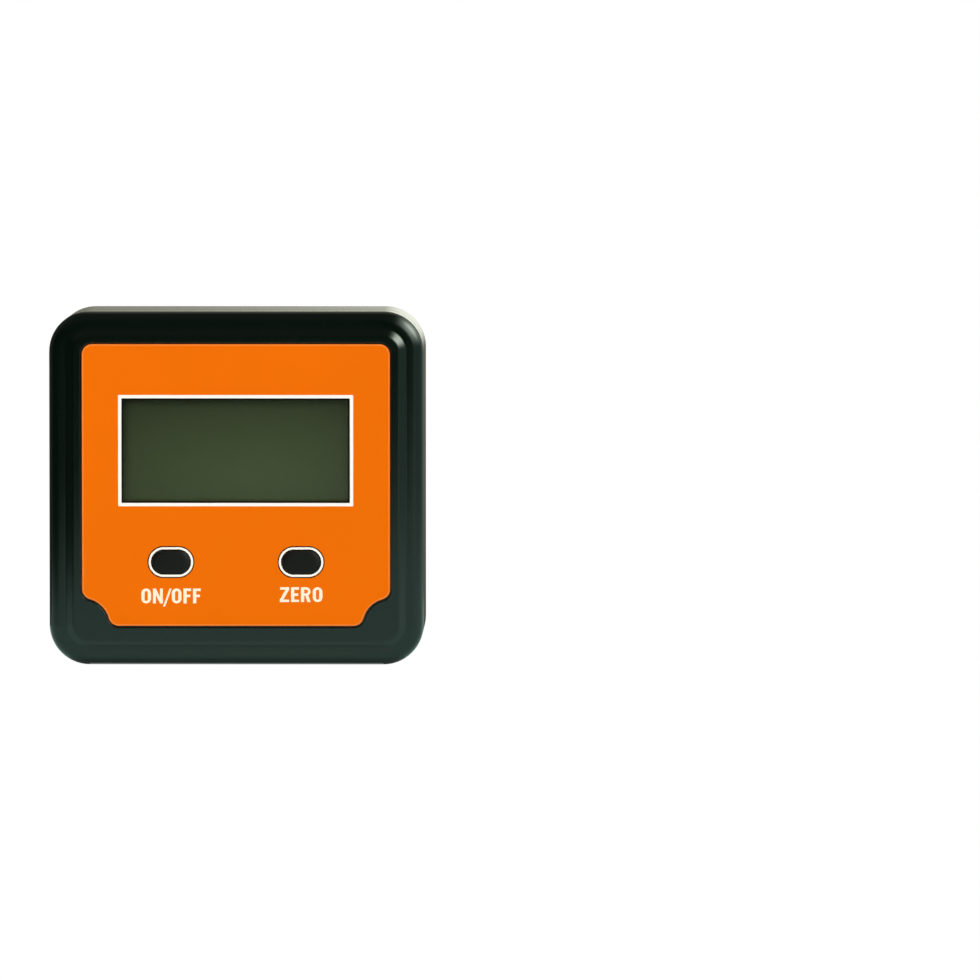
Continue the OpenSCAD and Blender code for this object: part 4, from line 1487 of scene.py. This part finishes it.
@dataclass
class Lettering:
    """Bold condensed capitals, drawn as plain outlines.

    Attributes:
        cap_h: Height of the capitals.
        stem: Thickness of the upright strokes.
        bar: Thickness of the level strokes.
        gap: Gap between two capitals.
        slash_gap: Gap beside the slanted stroke.
        widths: Width of each letter.
        arm_share: Share of its letter's width that a middle arm spans.
        mid_share: Share of the height up to the foot of F's arm and of R's bowl.
        n_stem_share: Share of the usual stem that N's are thick.
        n_notch_share: Share of the height that N's notches are deep.
        slant: Width at the foot of Z's slanted stroke.
        nick: How far Z's upper bar and R's bowl stop short.
        leg_in: Distance from R's stem to its leg.
        leg_extra: How much thicker than a stem R's leg is.
        leg_angle: Angle at which R's bowl meets its leg, in degrees.
        slash_w: Width of the slanted stroke's ends.
        slash_below: How far the slanted stroke reaches under the line.
        curve_steps: Steps in the outer curves of O and R.
        hole_steps: Steps in the curves of the holes in O and R.
    """

    cap_h: float
    stem: float = 0.47
    bar: float = 0.36
    gap: float = 0.28
    slash_gap: float = 0.02
    widths: dict[str, float] = field(
        default_factory=lambda: {
            "O": 1.4, "N": 1.42, "F": 1.1, "E": 1.14, "Z": 1.34, "R": 1.42, "/": 1.25,
        }
    )
    arm_share: float = 0.9
    mid_share: float = 0.42
    n_stem_share: float = 0.88
    n_notch_share: float = 0.5704
    slant: float = 0.5
    nick: float = 0.04
    leg_in: float = 0.18
    leg_extra: float = 0.02
    leg_angle: float = -60.0
    slash_w: float = 0.3
    slash_below: float = 0.45
    curve_steps: tuple[int, int] = (24, 12)
    hole_steps: tuple[int, int] = (16, 8)

    def straight_letters(self) -> dict[str, Shape]:
        """Draws the letters that have only straight strokes, and the stroke between two words.

        Returns:
            Each letter's outline with its holes.
        """
        h, s, b = self.cap_h, self.stem, self.bar
        n, z, e, slash = (self.widths[letter] for letter in "NZE/")
        post, notch = self.n_stem_share * s, self.n_notch_share * h
        slant, nick, thick, below = self.slant, self.nick, self.slash_w, self.slash_below
        outlines: dict[str, Outline] = {
            "N": [
                (0, 0), (post, 0), (post, notch), (n - post, 0), (n, 0),
                (n, h), (n - post, h), (n - post, h - notch), (post, h), (0, h),
            ],
            "Z": [
                (0, 0), (z, 0), (z, b), (slant, b), (z, h - b), (z, h),
                (nick, h), (nick, h - b), (z - slant, h - b), (0, b),
            ],
            "/": [(0, -below), (thick, -below), (slash, h), (slash - thick, h)],
        }
        feet = (
            ("F", self.mid_share * h, [(0, 0), (s, 0)]),
            ("E", (h - b) / 2, [(0, 0), (e, 0), (e, b), (s, b)]),
        )
        for letter, mid, foot in feet:
            w = self.widths[letter]
            arm = w * self.arm_share
            outlines[letter] = foot + [(s, mid), (arm, mid), (arm, mid + b), (s, mid + b)]
            outlines[letter] += [(s, h - b), (w, h - b), (w, h), (0, h)]
        return {letter: (outline, []) for letter, outline in outlines.items()}

    def round_letters(self) -> dict[str, Shape]:
        """Draws the letters that have curves.

        Returns:
            Each letter's outline with its holes.
        """
        h, s, b = self.cap_h, self.stem, self.bar
        o, r = (self.widths[letter] for letter in "OR")
        o_steps, r_steps = self.curve_steps
        o_hole_steps, r_hole_steps = self.hole_steps
        middle = (o / 2, h / 2)
        o_hole = stadium(middle, o - 2 * s, h - 2 * b, o_hole_steps)
        bowl_low = h * self.mid_share
        bowl_r = (h - bowl_low) / 2
        hole_r = bowl_r - b
        centre = (r - bowl_r - self.nick, h - bowl_r)
        outer = [(0, 0), (s, 0), (s, bowl_low), (s + self.leg_in, bowl_low)]
        outer += [(r - (s + self.leg_extra), 0), (r, 0)]
        outer += arc(centre, bowl_r, self.leg_angle, 90, r_steps) + [(0, h)]
        r_hole = [(s, h - b - 2 * hole_r)] + arc(centre, hole_r, -90, 90, r_hole_steps) + [(s, h - b)]
        return {"O": (stadium(middle, o, h, o_steps), [o_hole]), "R": (outer, [r_hole])}

    def word(self, text: str, place: Point) -> list[Shape]:
        """Sets a word centred on a point of its base line.

        Args:
            text: The word's capitals.
            place: The middle of its base line.

        Returns:
            Outlines with their holes.
        """
        drawn = {**self.straight_letters(), **self.round_letters()}
        gaps = [self.slash_gap if "/" in text[i : i + 2] else self.gap for i in range(len(text) - 1)]
        x = place[0] - (sum(self.widths[letter] for letter in text) + sum(gaps)) / 2
        shapes = []
        for letter, gap in zip(text, gaps + [0.0]):
            outer, holes = drawn[letter]
            moved = [[(px + x, pz + place[1]) for px, pz in o] for o in (outer, *holes)]
            shapes.append((moved[0], moved[1:]))
            x += self.widths[letter] + gap
        return shapes


@dataclass
class Keys:
    """The two push keys: crowned caps with rounded edges, flanges and posts.

    Attributes:
        edge_r: Radius of the cap's edge.
        crown: Height of the crown over the cap's edge.
        crown_shares: Shares of the cap's half height at which the crown's rings lie.
        flange: Width of the flange around the cap.
        flange_t: Thickness of the flange.
        post_r: Radius of the post on the switch.
        flange_y: Depth of the flange's front below the raised face.
        edge_steps: Steps in the cap's edge.
        crease_deg: Edges sharper than this stay sharp.
    """

    edge_r: float = 0.28
    crown: float = 0.14
    crown_shares: Triple = (0.35, 0.6, 0.8)
    flange: float = 0.9
    flange_t: float = 0.7
    post_r: float = 1.2
    flange_y: float = 2.45
    edge_steps: int = 4
    crease_deg: float = 40.0

    def build(self, plan: KeyPlan) -> None:
        """Builds both keys.

        Args:
            plan: Sizes of the keys.
        """
        for side, node, body in (
            (Side.LEFT, "power_button", Body.POWER_KEY),
            (Side.RIGHT, "zero_button", Body.ZERO_KEY),
        ):
            low, high = box_mm(node)
            key = MeshBuilder()
            half, flange_back = plan.height / 2, self.flange_y + self.flange_t
            section = [((share - 1) * half, self.crown * share**2) for share in self.crown_shares]
            edge = round_over(self.edge_r, self.edge_steps)
            section += [(-inset, self.crown + sink) for inset, sink in edge]
            section += [(0, self.flange_y), (self.flange, self.flange_y), (self.flange, flange_back)]
            rings = [key.ring(plan.outline(side, grow), low.y + depth) for grow, depth in section]
            post = stadium(plan.centre(side), 2 * self.post_r, 2 * self.post_r)
            rings += [key.ring(post, y) for y in (low.y + flange_back, high.y)]
            key.loft(rings)
            key.cap(rings)
            name = node.replace("button", "key")
            piece = key.make(name, KEY_ABS, body, "key_plastic", self.crease_deg)
            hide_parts(node)


@dataclass
class Insides:
    """The CAD nodes whose shapes stay, each in its own finish.

    Attributes:
        finishes: Each node's finish.
    """

    finishes: dict[str, Finish] = field(
        default_factory=lambda: {
            "display_lens": LENS_ACRYLIC,
            "lcd_panel": DISPLAY_GLASS,
            "lcd_holder": HOLDER_ABS,
            "connector_strip": STRIP_RUBBER,
            "main_board": BOARD_LAMINATE,
            "processor": DRIPPED_RESIN,
            "tilt_sensor": CHIP_EPOXY,
            "crystal": PLATED_CAN,
            "capacitors": CHIP_CERAMIC,
            "power_switch": SWITCH_NYLON,
            "zero_switch": SWITCH_NYLON,
            "power_plunger": KEY_ABS,
            "zero_plunger": KEY_ABS,
            "coin_cell": CELL_STEEL,
            "negative_contact": SPRING_BRASS,
            "positive_contact": SPRING_BRASS,
            "negative_lead": BLACK_PVC,
            "positive_lead": RED_PVC,
            "board_screws": ZINC_PLATE,
        }
    )

    def dress(self) -> None:
        """Gives every kept node its finish, and lets light through the lens to the display."""
        for name, finish in self.finishes.items():
            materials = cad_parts[name].data.materials
            materials.clear()
            materials.append(finish.make())
            LOG.info("%s: dressed in %s", name, finish.name)
        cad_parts["display_lens"].visible_shadow = False


@dataclass(frozen=True)
class SoftLight:
    """A soft rectangular light, aimed at the middle of the case.

    Attributes:
        name: The light's name.
        place: Its centre, in millimetres.
        size: Its width and height, in millimetres.
        power: Its power in watts.
        gloss: Whether it shows in reflections and through clear parts.
    """

    name: str
    place: Triple
    size: Point
    power: float
    gloss: bool = True

    def build(self, target: Vector) -> None:
        """Adds the light to the scene.

        Args:
            target: The point it is aimed at, in metres.
        """
        lamp = bpy.data.lights.new(self.name, "AREA")
        lamp.shape = "RECTANGLE"
        lamp.size, lamp.size_y = (s * MM for s in self.size)
        lamp.energy = self.power
        holder = bpy.data.objects.new(self.name, lamp)
        bpy.context.scene.collection.objects.link(holder)
        holder.location = Vector(self.place) * MM
        holder.rotation_euler = (target - holder.location).to_track_quat("-Z", "Y").to_euler()
        holder.visible_glossy = holder.visible_transmission = self.gloss


@dataclass(frozen=True)
class Glow:
    """A soft patch of light in the room.

    Attributes:
        strength: The strength in the middle of the patch.
        fades: Directions, each with the shares along it from which and up to which the light fades in.
        tint: Colour of the light as an sRGB hex value.
    """

    strength: float
    fades: tuple[tuple[Triple, float, float], ...] = ()
    tint: str = "#f8fcf0"

    def build(self, tree: bpy.types.NodeTree, direction: bpy.types.NodeSocket) -> bpy.types.NodeSocket:
        """Adds the patch's nodes.

        Args:
            tree: The room's node tree.
            direction: The direction looked in.

        Returns:
            The patch's light in that direction.
        """
        strength: object = self.strength
        for towards, start, end in self.fades:
            pair = {0: direction, 1: Vector(towards).normalized()}
            share = add_node(tree, "ShaderNodeVectorMath", {"operation": "DOT_PRODUCT"}, pair)
            fade = {"Value": share.outputs["Value"], "From Min": start, "From Max": end, "To Max": strength}
            strength = add_node(
                tree, "ShaderNodeMapRange", {"interpolation_type": "SMOOTHSTEP"}, fade
            ).outputs["Result"]
        light = {"Color": linear(self.tint), "Strength": strength}
        return add_node(tree, "ShaderNodeBackground", inputs=light).outputs["Background"]


@dataclass
class Studio:
    """A pale floor in a plain studio, with soft lights and the camera.

    Attributes:
        floor: Corners of the floor.
        floor_colour: Colour of the floor's paper as an sRGB hex value.
        floor_rough: Roughness of the paper.
        floor_glow: Strength of the floor's own light on the object.
        floor_tint: Colour of that light as an sRGB hex value.
        floor_hole: Margins in from the case's sides, front and back of the opening under its flat base.
        contact: Reach of the soft shade where the object stands on the floor.
        sensor: Width of the camera's sensor.
        focal: The camera's focal length.
        near: Distance at which the camera starts to see.
        eye: The camera's place, with Y measured from the raised face.
        aim: The point on the face's plane in the middle of the picture.
        glows: The room's soft patches of light.
        lights: The lamps.
    """

    floor: tuple[Point, ...] = (
        (120.0, -514.0), (330.0, -514.0), (330.0, 120.0), (60.0, 120.0), (40.0, 40.0), (-226.0, 40.0),
    )
    floor_colour: str = "#b8b8b6"
    floor_rough: float = 0.9
    floor_glow: float = 0.66
    floor_tint: str = "#cefff7"
    floor_hole: Triple = (5.8, 2.2, 1.3)
    contact: float = 1.35
    sensor: float = 36.0
    focal: float = 383.4
    near: float = 10.0
    eye: Triple = (51.4, -1500.0, 104.5)
    aim: Point = (36.594, 25.371)
    glows: tuple[Glow, ...] = (
        # A faint light from all round
        Glow(0.02),
        # A broad patch at the upper right and a small bright one, for the lights along the rolled corner
        Glow(
            6.0,
            (((-0.122, 0.0, 0.993), 0.0, 0.55), ((0.945, 0.0, -0.327), 0.0, 0.55), (FRONT, -1.0, 0.1)),
        ),
        Glow(4.0, (((0.776, -0.06, 0.606), 0.93, 1.0),)),
        # The ceiling and the two side walls
        Glow(0.07, ((UP, 0.3, 0.8),)),
        Glow(0.36, ((RIGHT, 0.2, 0.7),), "#d0fff0"),
        Glow(0.08, ((LEFT, 0.3, 0.7), (BACK, -0.05, 0.3))),
        # The wall behind, with a narrow bright strip that pales the top and right sides at a low angle
        Glow(0.36, ((BACK, 0.2, 0.9), (RIGHT, -0.3, 0.0), (UP, -0.12, 0.05)), "#fdfce2"),
        Glow(1.3, ((BACK, 0.97, 0.995), ((0.9, 0.0, 0.44), 0.006, 0.034), (UP, -0.03, 0.005))),
        # Light from low behind and from below, for the back and the base
        Glow(0.6, ((BACK, 0.3, 0.8), (DOWN, 0.1, 0.3)), "#e8f8f2"),
        Glow(0.5, ((DOWN, 0.35, 0.8),)),
    )
    lights: tuple[SoftLight, ...] = (
        SoftLight("fill_light", (-60.0, -600.0, 140.0), (400.0, 300.0), 4.15, gloss=False),
        SoftLight("under_light", (80.0, -60.0, -400.0), (300.0, 300.0), 0.8),
    )

    def build(self) -> None:
        """Builds the floor, the room, the lights and the camera."""
        low, high = box_mm("front_housing")
        middle = Vector((0, low.y, (low.z + high.z) / 2)) * MM
        self.build_floor()
        self.build_room()
        for light in self.lights:
            light.build(middle)
        self.build_camera(low.y)
        bpy.context.scene.view_settings.view_transform = "Standard"

    def floor_mesh(self) -> bpy.types.Mesh:
        """Makes the floor as a flat sheet, open under the object's flat base.

        Returns:
            The floor's mesh.
        """
        side, near, far = self.floor_hole
        low, high = (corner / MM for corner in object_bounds())
        left, right, y0, y1 = low.x + side, high.x - side, low.y + near, high.y - far
        sheet = MeshBuilder()
        outer = sheet.ring(list(self.floor), low.z, Axis.Z)
        hole = sheet.ring([(left, y0), (right, y0), (right, y1), (left, y1)], low.z, Axis.Z)
        sheet.fill(outer, [hole], Axis.Z)
        mesh = bpy.data.meshes.new("pale_floor")
        mesh.from_pydata([p * MM for p in sheet.points], [], sheet.faces)
        if mesh.polygons[0].normal.z < 0:
            mesh.flip_normals()
        return mesh

    def build_floor(self) -> None:
        """Adds the floor, which the camera sees as plain white from above and not at all from below."""
        mesh = self.floor_mesh()
        material = bpy.data.materials.new("pale_paper")
        material.use_nodes = True
        tree = material.node_tree
        tree.nodes.clear()
        reach = {"Distance": self.contact * MM}
        shade = add_node(tree, "ShaderNodeAmbientOcclusion", inputs=reach).outputs["AO"]
        glow = {"Value": shade, "To Max": self.floor_glow}
        finish = {
            "Base Color": linear(self.floor_colour),
            "Roughness": self.floor_rough,
            "Emission Color": linear(self.floor_tint),
            "Emission Strength": add_node(tree, "ShaderNodeMapRange", inputs=glow).outputs["Result"],
        }
        paper = add_node(tree, "ShaderNodeBsdfPrincipled", inputs=finish).outputs["BSDF"]
        white = add_node(tree, "ShaderNodeEmission", inputs={"Color": linear("#ffffff")}).outputs["Emission"]
        clear = add_node(tree, "ShaderNodeBsdfTransparent").outputs["BSDF"]
        below = add_node(tree, "ShaderNodeNewGeometry").outputs["Backfacing"]
        sides = {0: below, 1: white, 2: clear}
        plain = add_node(tree, "ShaderNodeMixShader", inputs=sides).outputs["Shader"]
        seen = add_node(tree, "ShaderNodeLightPath").outputs["Is Camera Ray"]
        rays = {0: seen, 1: paper, 2: plain}
        either = add_node(tree, "ShaderNodeMixShader", inputs=rays).outputs["Shader"]
        add_node(tree, "ShaderNodeOutputMaterial", inputs={"Surface": either})
        mesh.materials.append(material)
        floor = bpy.data.objects.new("pale_floor", mesh)
        bpy.context.scene.collection.objects.link(floor)
        floor.visible_diffuse = False
        floor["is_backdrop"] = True

    def build_room(self) -> None:
        """Makes the room plain white to the camera, and lights the object with its soft patches."""
        world = bpy.data.worlds.new("studio_room")
        bpy.context.scene.world = world
        world.use_nodes = True
        tree = world.node_tree
        tree.nodes.clear()
        direction = add_node(tree, "ShaderNodeTexCoord").outputs["Generated"]
        room, *patches = [glow.build(tree, direction) for glow in self.glows]
        for patch in patches:
            room = add_node(tree, "ShaderNodeAddShader", inputs={0: room, 1: patch}).outputs["Shader"]
        seen = add_node(tree, "ShaderNodeLightPath").outputs["Is Camera Ray"]
        plain = Glow(1.0, tint="#ffffff").build(tree, direction)
        rays = {0: seen, 1: room, 2: plain}
        either = add_node(tree, "ShaderNodeMixShader", inputs=rays).outputs["Shader"]
        add_node(tree, "ShaderNodeOutputWorld", inputs={"Surface": either})
        world.cycles_visibility.diffuse = False

    def build_camera(self, face_y: float) -> None:
        """Adds the camera.

        Args:
            face_y: Y of the raised face, in millimetres.
        """
        lens = bpy.data.cameras.new("camera")
        lens.sensor_width = self.sensor
        lens.lens = self.focal
        lens.clip_start = self.near * MM
        camera = bpy.data.objects.new("camera", lens)
        bpy.context.scene.collection.objects.link(camera)
        aim = Vector((self.aim[0], face_y, self.aim[1]))
        camera.location = Vector((self.eye[0], face_y + self.eye[1], self.eye[2])) * MM
        camera.rotation_euler = (aim * MM - camera.location).to_track_quat("-Z", "Y").to_euler()
        bpy.context.scene.camera = camera


def main() -> None:
    """Builds the gauge's pieces in order, then the studio."""
    logging.basicConfig(level=logging.INFO, format="%(message)s")
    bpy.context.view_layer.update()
    face, plan = Face(), KeyPlan()
    FrontShell().build(face, plan)
    RearShell().build()
    BatteryCover().build()
    Fasteners().build()
    Label(face, plan).build()
    Keys().build(plan)
    Insides().dress()
    Studio().build()


if __name__ == "__main__":
    main()
